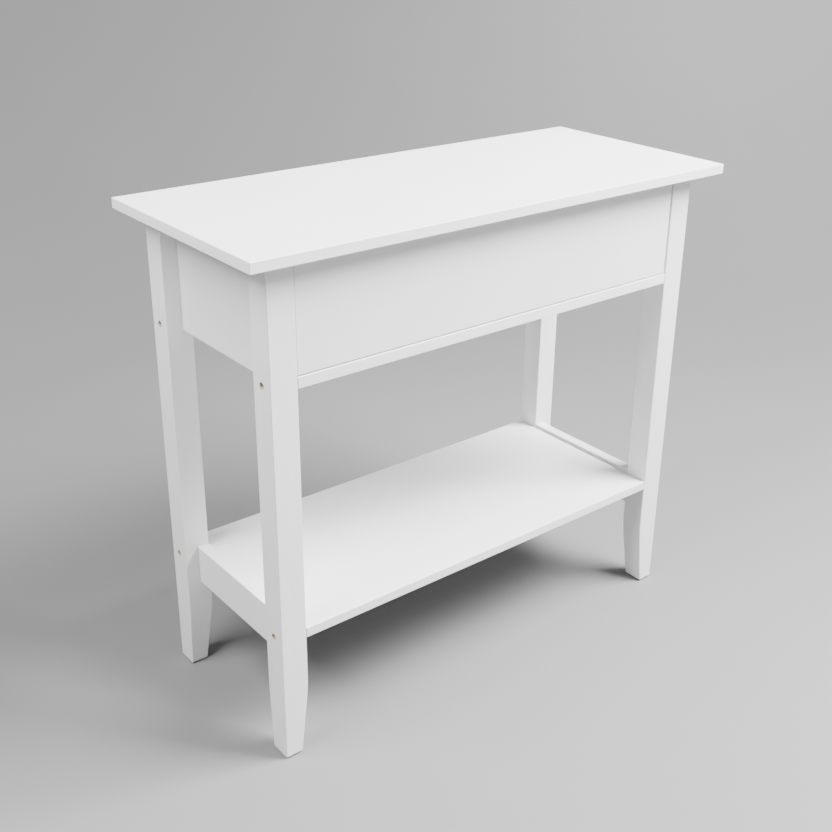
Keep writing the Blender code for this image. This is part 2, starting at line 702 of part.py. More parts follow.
def roller_mesh():
    """Nylon wheel around local Z, with a bore and a shallow groove in each face."""
    half = (ROLLER_INNER - ROLLER_OUTER) / 2
    rim = ROLLER_RADIUS - 0.0016
    hub = ROLLER_BORE + 0.0014
    dish = half - 0.0009
    profile = [
        (ROLLER_BORE, half), (hub, half), (hub, dish), (rim, dish), (rim, half),
        (ROLLER_RADIUS - 0.0004, half), (ROLLER_RADIUS, half - 0.0004),
        (ROLLER_RADIUS, 0.0004 - half), (ROLLER_RADIUS - 0.0004, -half),
        (rim, -half), (rim, -dish), (hub, -dish), (hub, -half), (ROLLER_BORE, -half),
        (ROLLER_BORE, half),
    ]
    return turned_mesh("roller", profile, 24)


def make_rollers():
    """Each roller turns about its own rivet, so its origin is on that rivet."""
    wheel = roller_mesh()
    middle = (ROLLER_INNER + ROLLER_OUTER) / 2
    for side_name, side in SIDES.items():
        for end, y, z in (
            ("front", FRONT_ROLLER_Y, FRONT_ROLLER_Z),
            ("rear", REAR_ROLLER_Y, REAR_ROLLER_Z),
        ):
            matrix = along(X_AXIS, (from_leg(side, middle), y, z))
            roller = piece(f"{end}_roller_{side_name}", wheel, matrix, NYLON)
            if end == "rear":
                hang_on_carriage(roller)


# ---- the table ----------------------------------------------------------------------------
make_top()
for label in SIDES:
    make_leg(label, front=True)
    make_leg(label, front=False)
    make_side_panel(label)
    make_end_rail(label)
make_cross_rail("front_rail", FRONT_Y, FRONT_Y + RAIL_DEPTH)
make_cross_rail("back_rail", BACK_Y - RAIL_DEPTH, BACK_Y)
make_back_panel()
make_shelf()
make_frame_screws()
make_top_screws()
make_frame_dowels()
make_glides()
make_drawer_front()
for label in SIDES:
    make_drawer_side(label)
    make_cabinet_slide(label)
    make_drawer_slide(label)
make_drawer_back()
make_drawer_floor()
make_drawer_dowels()
make_rollers()
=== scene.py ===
"""Looks for a white lacquered console table with one inset drawer and a low shelf.

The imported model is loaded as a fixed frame. Every board, fitting and visible fastener is built
again in it, with rounded edges, real bores and a procedural finish, and rides on its own body.
Metres, +Z up. The origin is on the floor under the table top, and -Y is the front, where the
drawer opens.
"""

import json
import logging
import math
from collections.abc import Iterable, Sequence
from dataclasses import dataclass, replace
from enum import Enum

import bmesh
import bpy
from mathutils import Matrix, Vector

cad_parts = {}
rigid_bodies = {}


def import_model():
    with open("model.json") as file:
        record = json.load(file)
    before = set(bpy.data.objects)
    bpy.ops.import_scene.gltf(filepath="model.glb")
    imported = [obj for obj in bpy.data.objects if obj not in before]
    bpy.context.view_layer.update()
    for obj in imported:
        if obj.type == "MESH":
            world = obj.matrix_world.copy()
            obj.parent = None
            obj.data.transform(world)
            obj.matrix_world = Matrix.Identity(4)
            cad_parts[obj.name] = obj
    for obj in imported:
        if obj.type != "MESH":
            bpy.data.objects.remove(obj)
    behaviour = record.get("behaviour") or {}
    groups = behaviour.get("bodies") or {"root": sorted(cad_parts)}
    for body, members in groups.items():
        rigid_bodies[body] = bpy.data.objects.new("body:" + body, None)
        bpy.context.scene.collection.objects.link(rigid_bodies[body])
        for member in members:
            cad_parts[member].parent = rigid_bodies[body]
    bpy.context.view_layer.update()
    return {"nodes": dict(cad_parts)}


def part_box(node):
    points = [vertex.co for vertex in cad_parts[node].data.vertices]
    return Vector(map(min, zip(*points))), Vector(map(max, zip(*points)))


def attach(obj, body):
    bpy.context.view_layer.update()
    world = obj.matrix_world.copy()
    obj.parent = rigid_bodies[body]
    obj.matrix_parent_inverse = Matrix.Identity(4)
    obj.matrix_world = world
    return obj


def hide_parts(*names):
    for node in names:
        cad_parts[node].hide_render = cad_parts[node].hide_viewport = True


LOG = logging.getLogger("console_table")

Shape = bmesh.types.BMesh
Point = tuple[float, float, float]
Rgb = tuple[float, float, float]
Station = tuple[float, float]
Outline = Sequence[tuple[float, float]]

FRAME_BODY = "table"
DRAWER_BODY = "drawer"
CLEARANCE = 0.0003
OVERSHOOT = 0.002
TINY = 1e-7
SHARP_ANGLE = math.radians(32)
CHANNEL_SCREWS = (-0.066, 0.056)
RUNNER_SCREWS = (-0.080, 0.070)
TOP_SCREW_LEAN = math.radians(15)
FLAT_SHARE = 0.98
NOISE_MIDDLE = (0.25, 0.75)
WHITE = (1.0, 1.0, 1.0, 1.0)


class Axis(Enum):
    """The three directions of the frame, as unit vectors."""

    X = (1.0, 0.0, 0.0)
    Y = (0.0, 1.0, 0.0)
    Z = (0.0, 0.0, 1.0)

    @property
    def vector(self) -> Vector:
        """The direction as a vector of length one."""
        return Vector(self.value)


class Side(Enum):
    """Left or right of the table, seen from its front."""

    LEFT = -1
    RIGHT = 1

    @property
    def label(self) -> str:
        """The word that node names use."""
        return self.name.lower()

    @property
    def outwards(self) -> Vector:
        """The direction away from the table's middle."""
        return Axis.X.vector * self.value


class End(Enum):
    """Front or back of the table."""

    FRONT = -1
    BACK = 1

    @property
    def label(self) -> str:
        """The word that node names use."""
        return self.name.lower()

    @property
    def inwards(self) -> Vector:
        """The direction from this end to the table's middle."""
        return Axis.Y.vector * -self.value


# ---- finishes -----------------------------------------------------------------------------
class NodeSheet:
    """A new material's node tree, with short calls for the nodes that the finishes share."""

    def __init__(self, title: str) -> None:
        """Start a sheet.

        Args:
            title: name of the material.
        """
        self.material = bpy.data.materials.new(title)
        self.material.use_nodes = True
        self.nodes = self.material.node_tree.nodes
        self.links = self.material.node_tree.links
        self.shader = self.nodes["Principled BSDF"]
        self.place = self.nodes.new("ShaderNodeTexCoord").outputs["Object"]

    def plain(self, **values: float) -> None:
        """Set constant values on the shader's own sockets, with underscores for spaces."""
        for name, value in values.items():
            self.shader.inputs[name.replace("_", " ")].default_value = value

    def stretched(self, scale: Sequence[float]) -> bpy.types.NodeSocket:
        """Place coordinates, scaled along each axis, as a vector output."""
        node = self.nodes.new("ShaderNodeMapping")
        node.inputs["Scale"].default_value = scale
        self.links.new(self.place, node.inputs["Vector"])
        return node.outputs["Vector"]

    def noise(
        self, scale: float, detail: float = 3.0, place: bpy.types.NodeSocket | None = None
    ) -> bpy.types.NodeSocket:
        """Soft noise.

        Args:
            scale: cells in a metre.
            detail: how many finer layers it has.
            place: coordinates to read, or None for the object's own.

        Returns:
            The noise value, from 0 to 1.
        """
        node = self.nodes.new("ShaderNodeTexNoise")
        node.inputs["Scale"].default_value = scale
        node.inputs["Detail"].default_value = detail
        self.links.new(place or self.place, node.inputs["Vector"])
        return node.outputs["Fac"]

    def cells(self, scale: float) -> bpy.types.NodeSocket:
        """Distance to the middle of scattered cells.

        Args:
            scale: cells in a metre.

        Returns:
            The distance, from 0 at each cell's middle.
        """
        node = self.nodes.new("ShaderNodeTexVoronoi")
        node.inputs["Scale"].default_value = scale
        self.links.new(self.place, node.inputs["Vector"])
        return node.outputs["Distance"]

    def weighted(
        self, first: bpy.types.NodeSocket, second: bpy.types.NodeSocket, share: float
    ) -> bpy.types.NodeSocket:
        """Blend two values.

        Args:
            first: value that is there at a share of 0.
            second: value that is there at a share of 1.
            share: how much of the second to take.

        Returns:
            The blended value.
        """
        node = self.nodes.new("ShaderNodeMix")
        node.inputs["Factor"].default_value = share
        self.links.new(first, node.inputs["A"])
        self.links.new(second, node.inputs["B"])
        return node.outputs["Result"]

    def ranged(
        self, source: bpy.types.NodeSocket, low: float, high: float
    ) -> bpy.types.NodeSocket:
        """Spread the middle of a noise over a range of values.

        Args:
            source: value from 0 to 1.
            low: result where the source is low.
            high: result where the source is high.

        Returns:
            The spread value.
        """
        node = self.nodes.new("ShaderNodeMapRange")
        node.inputs["From Min"].default_value, node.inputs["From Max"].default_value = NOISE_MIDDLE
        node.inputs["To Min"].default_value = low
        node.inputs["To Max"].default_value = high
        self.links.new(source, node.inputs["Value"])
        return node.outputs["Result"]

    def colour(self, source: bpy.types.NodeSocket, stops: Sequence[tuple[float, Rgb]]) -> None:
        """Give the base colour a ramp over a value.

        Args:
            source: value from 0 to 1.
            stops: position and colour of each stop, from low to high.
        """
        ramp = self.nodes.new("ShaderNodeValToRGB")
        stop_list = ramp.color_ramp.elements
        for _ in stops[2:]:
            stop_list.new(0.5)
        for element, (position, tone) in zip(stop_list, stops):
            element.position = position
            element.color = (*tone, 1.0)
        self.links.new(source, ramp.inputs["Fac"])
        self.links.new(ramp.outputs["Color"], self.shader.inputs["Base Color"])

    def roughness(self, source: bpy.types.NodeSocket, low: float, high: float) -> None:
        """Vary the roughness between two values with a value from 0 to 1."""
        self.links.new(self.ranged(source, low, high), self.shader.inputs["Roughness"])

    def bump(self, *layers: tuple[bpy.types.NodeSocket, float]) -> None:
        """Raise the surface by one or more heights.

        Args:
            layers: value from 0 to 1, and the height in metres that 1 stands for.
        """
        normal = None
        for source, height in layers:
            node = self.nodes.new("ShaderNodeBump")
            node.inputs["Strength"].default_value = 1.0
            node.inputs["Distance"].default_value = height
            self.links.new(source, node.inputs["Height"])
            if normal is not None:
                self.links.new(normal, node.inputs["Normal"])
            normal = node.outputs["Normal"]
        self.links.new(normal, self.shader.inputs["Normal"])


@dataclass(frozen=True)
class Finish:
    """Base of every finish: its material is made once and then shared."""

    title: str
    slot: str

    def material(self) -> bpy.types.Material:
        """The finish's material, made at the first call."""
        known = bpy.data.materials.get(self.title)
        if known is not None:
            return known
        sheet = NodeSheet(self.title)
        self.paint(sheet)
        return sheet.material

    def paint(self, sheet: NodeSheet) -> None:
        """Lay out the finish's nodes on the sheet of its new material."""
        raise NotImplementedError(self.title)


def grain_scale(grain: Axis, along: float, across: float) -> Point:
    """Pattern density along X, Y and Z for a board whose long axis is the grain."""
    x, y, z = (along if axis is grain else across for axis in Axis)
    return (x, y, z)


@dataclass(frozen=True)
class Layer:
    """A layer of noise in a finish, even or drawn out along the grain."""

    scale: float
    detail: float
    along: float | None = None

    def on(self, sheet: NodeSheet, grain: Axis) -> bpy.types.NodeSocket:
        """Lay the layer on a sheet.

        Args:
            sheet: the new material.
            grain: direction that a drawn out layer follows.

        Returns:
            The layer's value, from 0 to 1.
        """
        if self.along is None:
            return sheet.noise(self.scale, self.detail)
        place = sheet.stretched(grain_scale(grain, self.along, self.scale))
        return sheet.noise(1.0, self.detail, place)


@dataclass(frozen=True)
class Lacquer(Finish):
    """Sprayed satin white on smooth board: orange peel, faint streaks, a few dust nibs."""

    grain: Axis
    light: Rgb = (0.815, 0.815, 0.812)
    deep: Rgb = (0.775, 0.776, 0.772)
    stops: tuple[float, float] = (0.30, 0.70)
    smooth: float = 0.36
    rough: float = 0.50
    peel: float = 0.000035
    streak: float = 0.000050
    streak_share: float = 0.35
    streak_layer: Layer = Layer(210.0, 3.0, 6.0)
    cloud_layer: Layer = Layer(7.0, 4.0)
    peel_layer: Layer = Layer(420.0, 2.0)
    nib_scale: float = 95.0
    gloss: float = 0.42

    def paint(self, sheet: NodeSheet) -> None:
        """Lay out the lacquer's nodes.

        Args:
            sheet: the new material.
        """
        streaks = self.streak_layer.on(sheet, self.grain)
        clouds = self.cloud_layer.on(sheet, self.grain)
        peel = self.peel_layer.on(sheet, self.grain)
        nibs = sheet.cells(self.nib_scale)
        tones = zip(self.stops, (self.deep, self.light))
        sheet.colour(sheet.weighted(clouds, streaks, self.streak_share), list(tones))
        sheet.roughness(sheet.weighted(clouds, peel, 0.5), self.smooth, self.rough)
        sheet.bump((peel, self.peel), (streaks, self.streak), (nibs, self.streak * 0.5))
        sheet.plain(Specular_IOR_Level=self.gloss)


@dataclass(frozen=True)
class Layered(Finish):
    """Base of the plainer finishes: a broad and a fine layer share the colour, gloss and relief."""

    light: Rgb = (0.8, 0.8, 0.8)
    deep: Rgb = (0.7, 0.7, 0.7)
    stops: tuple[float, float] = (0.3, 0.7)
    broad: Layer = Layer(10.0, 3.0)
    fine: Layer | None = Layer(600.0, 3.0)
    colour_share: float = 0.0
    rough_share: float = 0.0
    relief_share: float = 1.0
    smooth: float = 0.4
    rough: float = 0.6
    relief: float = 0.00006
    metallic: float = 0.0
    grain: Axis = Axis.Z

    def paint(self, sheet: NodeSheet) -> None:
        """Lay out the two layers; a share of 0 is the broad one alone and 1 the fine one.

        Args:
            sheet: the new material.
        """
        broad = self.broad.on(sheet, self.grain)
        fine = self.fine.on(sheet, self.grain) if self.fine else broad
        mixes = {0.0: broad, 1.0: fine}
        for share in (self.colour_share, self.rough_share, self.relief_share):
            if share not in mixes:
                mixes[share] = sheet.weighted(broad, fine, share)
        tones = zip(self.stops, (self.deep, self.light))
        sheet.colour(mixes[self.colour_share], list(tones))
        sheet.roughness(mixes[self.rough_share], self.smooth, self.rough)
        sheet.bump((mixes[self.relief_share], self.relief))
        sheet.plain(Metallic=self.metallic)


@dataclass(frozen=True)
class RawBoard(Layered):
    """Cut wood inside the bores: tan, fibrous and dull."""

    light: Rgb = (0.62, 0.50, 0.34)
    deep: Rgb = (0.40, 0.30, 0.19)
    stops: tuple[float, float] = (0.32, 0.68)
    broad: Layer = Layer(900.0, 4.0, 160.0)
    fine: Layer | None = None
    relief_share: float = 0.0
    smooth: float = 0.78
    rough: float = 0.95
    relief: float = 0.00025


@dataclass(frozen=True)
class Hardboard(Layered):
    """White faced hardboard of the drawer floor, with a fine pressed texture."""

    light: Rgb = (0.78, 0.775, 0.755)
    deep: Rgb = (0.71, 0.705, 0.68)
    broad: Layer = Layer(11.0, 4.0)
    fine: Layer = Layer(640.0, 3.0)
    colour_share: float = 0.3
    smooth: float = 0.52
    rough: float = 0.68
    relief: float = 0.00008


@dataclass(frozen=True)
class Beech(Layered):
    """Beech of the dowels, with short dark flecks along the grain."""

    light: Rgb = (0.68, 0.50, 0.32)
    deep: Rgb = (0.50, 0.33, 0.19)
    stops: tuple[float, float] = (0.34, 0.62)
    broad: Layer = Layer(900.0, 4.0, 70.0)
    fine: Layer = Layer(2600.0, 2.0, 260.0)
    colour_share: float = 0.4
    relief_share: float = 0.4
    smooth: float = 0.60
    rough: float = 0.80
    relief: float = 0.00008


@dataclass(frozen=True)
class ZincPlate(Layered):
    """Zinc plated steel, a little cloudy, with fine turning marks."""

    light: Rgb = (0.70, 0.71, 0.73)
    deep: Rgb = (0.50, 0.51, 0.54)
    broad: Layer = Layer(260.0, 4.0)
    fine: Layer = Layer(2600.0, 2.0)
    rough_share: float = 0.4
    smooth: float = 0.24
    rough: float = 0.44
    relief: float = 0.00002
    metallic: float = 1.0


@dataclass(frozen=True)
class PowderCoat(Layered):
    """White powder coat of the slides, with its small even ripple."""

    light: Rgb = (0.80, 0.80, 0.785)
    deep: Rgb = (0.74, 0.74, 0.725)
    broad: Layer = Layer(30.0, 3.0)
    fine: Layer = Layer(750.0, 2.0)
    colour_share: float = 0.25
    rough_share: float = 1.0
    smooth: float = 0.34
    rough: float = 0.48


@dataclass(frozen=True)
class MouldedPlastic(Layered):
    """Moulded plastic with a fine sparked texture and faint flow clouds."""

    broad: Layer = Layer(90.0, 3.0)
    fine: Layer = Layer(3200.0, 2.0)
    rough_share: float = 0.4
    smooth: float = 0.42
    rough: float = 0.58
    relief: float = 0.00002


@dataclass(frozen=True)
class SweepPaper(Layered):
    """Matt grey paper of the studio sweep."""

    light: Rgb = (0.209, 0.209, 0.210)
    deep: Rgb = (0.203, 0.203, 0.204)
    broad: Layer = Layer(3.0, 3.0)
    fine: Layer = Layer(320.0, 3.0)
    colour_share: float = 0.3
    rough_share: float = 1.0
    smooth: float = 0.62
    rough: float = 0.78


LACQUER = {
    axis: Lacquer(f"lacquer_along_{axis.name.lower()}", "white_lacquer", axis) for axis in Axis
}
# Finish of the rounded arrises. Its base colour is lighter than the flat faces', a painted highlight
# that sits on every edge whatever the light. Its lower roughness and finer peel give a real glossier
# edge.
EDGE_HIGHLIGHT_LACQUER = {
    axis: replace(
        plain,
        title=f"lacquer_edge_along_{axis.name.lower()}",
        light=(0.84, 0.84, 0.836),
        deep=(0.775, 0.77, 0.755),
        smooth=0.20,
        rough=0.34,
        peel=plain.peel * 0.5,
    )
    for axis, plain in LACQUER.items()
}
POST_LACQUER = replace(
    LACQUER[Axis.Z], title="lacquer_on_posts", streak=0.000110, streak_share=0.65
)
# The posts' rounded corners carry the same painted edge highlight, as a lighter base colour, with the
# posts' stronger streaks.
POST_EDGE_HIGHLIGHT = replace(
    EDGE_HIGHLIGHT_LACQUER[Axis.Z], title="lacquer_edge_on_posts", streak=0.000060, streak_share=0.65
)
BEECH = {
    axis: Beech(f"beech_along_{axis.name.lower()}", "beech_dowel", grain=axis) for axis in Axis
}
RAW_BOARD = RawBoard("cut_board", "white_lacquer")
HARDBOARD = Hardboard("drawer_floor_board", "hardboard")
ZINC = ZincPlate("zinc_plate", "zinc_steel")
POWDER = PowderCoat("slide_powder_coat", "white_runner")
NYLON = MouldedPlastic("roller_nylon", "white_nylon", (0.80, 0.79, 0.75), (0.72, 0.71, 0.66))
GLIDE = MouldedPlastic(
    "glide_plastic_grey", "glide_plastic", (0.16, 0.155, 0.15), (0.10, 0.10, 0.095)
)


# ---- shapes -------------------------------------------------------------------------------
def pointing(axis: Vector, place: Vector | Point) -> Matrix:
    """Placement that puts the local origin at a place and turns local +Z onto an axis."""
    turn = Axis.Z.vector.rotation_difference(axis).to_matrix().to_4x4()
    return Matrix.Translation(place) @ turn


def loft(loops: Sequence[Sequence[Point]], closed: bool = False) -> Shape:
    """Skin over loops of equal length, with flat caps unless it closes on itself.

    Args:
        loops: rings of points; a ring of one point is a tip.
        closed: True if the last loop joins the first.

    Returns:
        The closed shape.
    """
    shape = bmesh.new()
    rings = [[shape.verts.new(point) for point in loop] for loop in loops]
    pairs = list(zip(rings, rings[1:]))
    if closed:
        pairs.append((rings[-1], rings[0]))
    for upper, lower in pairs:
        count = max(len(upper), len(lower))
        for index in range(count):
            following = (index + 1) % count
            corners = [upper[index % len(upper)], lower[index % len(lower)]]
            if len(lower) > 1:
                corners.append(lower[following])
            if len(upper) > 1:
                corners.append(upper[following])
            shape.faces.new(corners)
    if not closed:
        for ring in (rings[0], rings[-1]):
            if len(ring) > 1:
                shape.faces.new(ring)
    bmesh.ops.recalc_face_normals(shape, faces=shape.faces)
    return shape


def turned(profile: Sequence[Station], steps: int = 32, closed: bool = False) -> Shape:
    """Shape turned about local Z.

    Args:
        profile: radius and height of each station, in order.
        steps: how many sides it has.
        closed: True for a ring, whose profile returns to its start.

    Returns:
        The closed shape.
    """
    turns = [math.tau * step / steps for step in range(steps)]
    loops = []
    for radius, height in profile:
        if radius < TINY:
            loops.append([(0.0, 0.0, height)])
        else:
            loops.append([(radius * math.cos(t), radius * math.sin(t), height) for t in turns])
    return loft(loops, closed)


def box_shape(low: Vector, high: Vector) -> Shape:
    """Plain block between two corners, as a start for a bevel or as a cutter.

    Args:
        low: lowest corner.
        high: highest corner.

    Returns:
        The block.
    """
    x0, y0, z0 = low
    x1, y1, z1 = high
    ring = ((x0, y0), (x1, y0), (x1, y1), (x0, y1))
    return loft([[(x, y, z) for x, y in ring] for z in (z0, z1)])


def round_edges(shape: Shape, radius: float, steps: int = 4) -> Shape:
    """Round every clear edge of a shape; the rounded faces take the second material.

    Args:
        shape: shape to round in place.
        radius: radius of the edges.
        steps: faces across each rounding.

    Returns:
        The same shape.
    """
    edges = [edge for edge in shape.edges if edge.calc_face_angle(0.0) > SHARP_ANGLE]
    bmesh.ops.bevel(
        shape,
        geom=edges,
        offset=radius,
        offset_type="OFFSET",
        segments=steps,
        profile=0.5,
        affect="EDGES",
        clamp_overlap=True,
        material=1,
    )
    return shape


def joined(shapes: Iterable[Shape]) -> Shape:
    """One shape out of several, which are used up.

    Args:
        shapes: shapes to join.

    Returns:
        The joined shape.
    """
    whole = bmesh.new()
    for shape in shapes:
        mesh = mesh_of("joining", shape)
        whole.from_mesh(mesh)
        bpy.data.meshes.remove(mesh)
    return whole


def moved(shape: Shape, matrix: Matrix) -> Shape:
    """Put a shape in place by a matrix, and give it back."""
    bmesh.ops.transform(shape, matrix=matrix, verts=shape.verts)
    return shape


def mesh_of(title: str, shape: Shape) -> bpy.types.Mesh:
    """Turn a shape into a mesh and free it.

    Args:
        title: name of the mesh.
        shape: shape to use up.

    Returns:
        The mesh.
    """
    mesh = bpy.data.meshes.new(title)
    shape.to_mesh(mesh)
    shape.free()
    return mesh


def rounded_ring(
    low: tuple[float, float], high: tuple[float, float], radius: float, steps: int = 4
) -> list[tuple[float, float]]:
    """Outline of a rectangle with rounded corners.

    Args:
        low: lowest corner.
        high: highest corner.
        radius: corner radius.
        steps: faces at each corner.

    Returns:
        The points, anticlockwise.
    """
    corners = (
        (high[0] - radius, high[1] - radius, 0.0),
        (low[0] + radius, high[1] - radius, 90.0),
        (low[0] + radius, low[1] + radius, 180.0),
        (high[0] - radius, low[1] + radius, 270.0),
    )
    ring = []
    for x, y, start in corners:
        for step in range(steps + 1):
            turn = math.radians(start + 90.0 * step / steps)
            ring.append((x + radius * math.cos(turn), y + radius * math.sin(turn)))
    return ring


@dataclass(frozen=True)
class Bore:
    """A turned hole, from its mouth inwards."""

    mouth: Vector
    inwards: Vector
    stations: tuple[Station, ...]
    flare: float = 0.0

    def cutter(self) -> Shape:
        """The closed shape to cut away, in place."""
        first = self.stations[0][0]
        start = [(0.0, -OVERSHOOT), (first + self.flare + OVERSHOOT * bool(self.flare), -OVERSHOOT)]
        if self.flare:
            start.append((first, self.flare))
        steps: list[Station] = []
        reached = None
        for radius, depth in self.stations:
            if reached is not None:
                steps.append((radius, reached))
            steps.append((radius, depth))
            reached = depth
        profile = [*start, *steps, (0.0, steps[-1][1])]
        return moved(turned(profile), pointing(self.inwards, self.mouth))


def bore_for(node: str, mouth_side: Vector, slack: float = CLEARANCE) -> Bore:
    """Plain bore that takes a pin or dowel, sized from the pin's own box.

    Args:
        node: CAD node of the pin.
        mouth_side: direction from the bore's bottom to its mouth.
        slack: space round the pin.

    Returns:
        The bore, which starts at the pin's far end and so cuts only what the pin is in.
    """
    low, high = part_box(node)
    middle = (low + high) / 2
    reach = abs((high - low).dot(mouth_side))
    radius = max(abs(c) for c in (high - low) * 0.5 - mouth_side * (high - low).dot(mouth_side) / 2)
    mouth = middle + mouth_side * (reach / 2)
    return Bore(mouth, -mouth_side, ((radius + slack, reach + slack),))


def top_screw_line(side: Side, end: End, level: float) -> tuple[Vector, Vector]:
    """Where a leaning screw from a side panel crosses a level, and the way it points.

    Args:
        side: side of the panel.
        end: which of the panel's two screws.
        level: height of the crossing.

    Returns:
        The point and the upward direction.
    """
    panel_low, panel_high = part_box(f"side_panel_{side.label}")
    low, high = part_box(f"top_screw_{end.label}_{side.label}")
    place = Vector(((panel_low.x + panel_high.x) / 2, (low.y + high.y) / 2, level))
    lean = Vector((side.value * math.sin(TOP_SCREW_LEAN), 0.0, math.cos(TOP_SCREW_LEAN)))
    return place, lean


# ---- pieces -------------------------------------------------------------------------------
def carve(
    piece: bpy.types.Object,
    shapes: Iterable[Shape],
    finish: Finish = RAW_BOARD,
    operation: str = "DIFFERENCE",
) -> None:
    """Cut shapes out of a piece, or join them to it, and keep the result as its mesh.

    Args:
        piece: piece to change.
        shapes: closed shapes, which are used up.
        finish: finish of the new faces.
        operation: DIFFERENCE or UNION.
    """
    mesh = mesh_of("cutter", joined(shapes))
    mesh.materials.append(finish.material())
    tool = bpy.data.objects.new("cutter", mesh)
    bpy.context.scene.collection.objects.link(tool)
    boolean = piece.modifiers.new("carve", "BOOLEAN")
    boolean.operation = operation
    boolean.solver = "EXACT"
    boolean.material_mode = "TRANSFER"
    boolean.object = tool
    graph = bpy.context.evaluated_depsgraph_get()
    carved = bpy.data.meshes.new_from_object(piece.evaluated_get(graph))
    piece.modifiers.remove(boolean)
    piece.data = carved
    bpy.data.objects.remove(tool)


def make_piece(name: str, shape: Shape, *finishes: Finish) -> bpy.types.Object:
    """New piece from a shape that already stands in its place.

    Args:
        name: name of the piece.
        shape: shape to use up.
        finishes: finishes in the order of the shape's material numbers.

    Returns:
        The piece, not yet on a body.
    """
    mesh = mesh_of(name, shape)
    for finish in finishes:
        mesh.materials.append(finish.material())
    piece = bpy.data.objects.new(name, mesh)
    bpy.context.scene.collection.objects.link(piece)
    return piece


def settle(
    piece: bpy.types.Object, body: str, slot: str, *nodes: str, smooth_angle: float = SHARP_ANGLE
) -> bpy.types.Object:
    """Shade a finished piece, hang it on its body and hide the CAD nodes it stands for.

    Args:
        piece: piece to settle.
        body: body that it rides on.
        slot: the record's material slot; not used.
        nodes: CAD nodes that it replaces.
        smooth_angle: faces that meet at less than this shade as one surface.

    Returns:
        The piece.
    """
    piece.data.shade_smooth()
    piece.data.set_sharp_from_angle(angle=smooth_angle)
    weighted = piece.modifiers.new("even_shading", "WEIGHTED_NORMAL")
    weighted.keep_sharp = True
    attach(piece, body)
    if nodes:
        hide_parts(*nodes)
    LOG.info("%s: %d faces, rides on %s", piece.name, len(piece.data.polygons), body)
    return piece


def dress(node: bpy.types.Object, finish: Finish) -> None:
    """Give a carried-over CAD node a finish.

    Args:
        node: the CAD node's object.
        finish: finish to give it.
    """
    if not node.material_slots:
        node.data.materials.append(finish.material())
    for holder in node.material_slots:
        holder.material = finish.material()
    LOG.info("%s keeps its shape and takes %s", node.name, finish.title)


@dataclass(frozen=True)
class Board:
    """A lacquered board that fills a CAD node's box, with rounded edges and bores."""

    node: str
    grain: Axis
    edge: float = 0.0010
    body: str = FRAME_BODY

    def blank(self) -> bpy.types.Object:
        """The rounded board before any bore.

        Returns:
            The piece.
        """
        # The rounded edges take the second finish, whose lighter colour is a painted highlight.
        shape = round_edges(box_shape(*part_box(self.node)), self.edge)
        name = self.node + "_board"
        return make_piece(name, shape, LACQUER[self.grain], EDGE_HIGHLIGHT_LACQUER[self.grain])

    def build(self, cutters: Sequence[Shape] = ()) -> bpy.types.Object:
        """Make the board and hang it on its body.

        Args:
            cutters: shapes to cut away.

        Returns:
            The piece.
        """
        piece = self.blank()
        if cutters:
            carve(piece, cutters)
        return settle(piece, self.body, "white_lacquer", self.node)


@dataclass(frozen=True)
class TableTop:
    """The overhanging board, with pilot holes for the screws from the side panels."""

    edge: float = 0.0011
    pilot: float = 0.0023
    pilot_depth: float = 0.0116

    def build(self) -> None:
        """Make the top and its pilot holes."""
        low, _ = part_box("table_top")
        cutters = []
        for side in Side:
            for end in End:
                place, lean = top_screw_line(side, end, low.z)
                cutters.append(Bore(place, lean, ((self.pilot, self.pilot_depth),)).cutter())
        Board("table_top", Axis.X, self.edge).build(cutters)


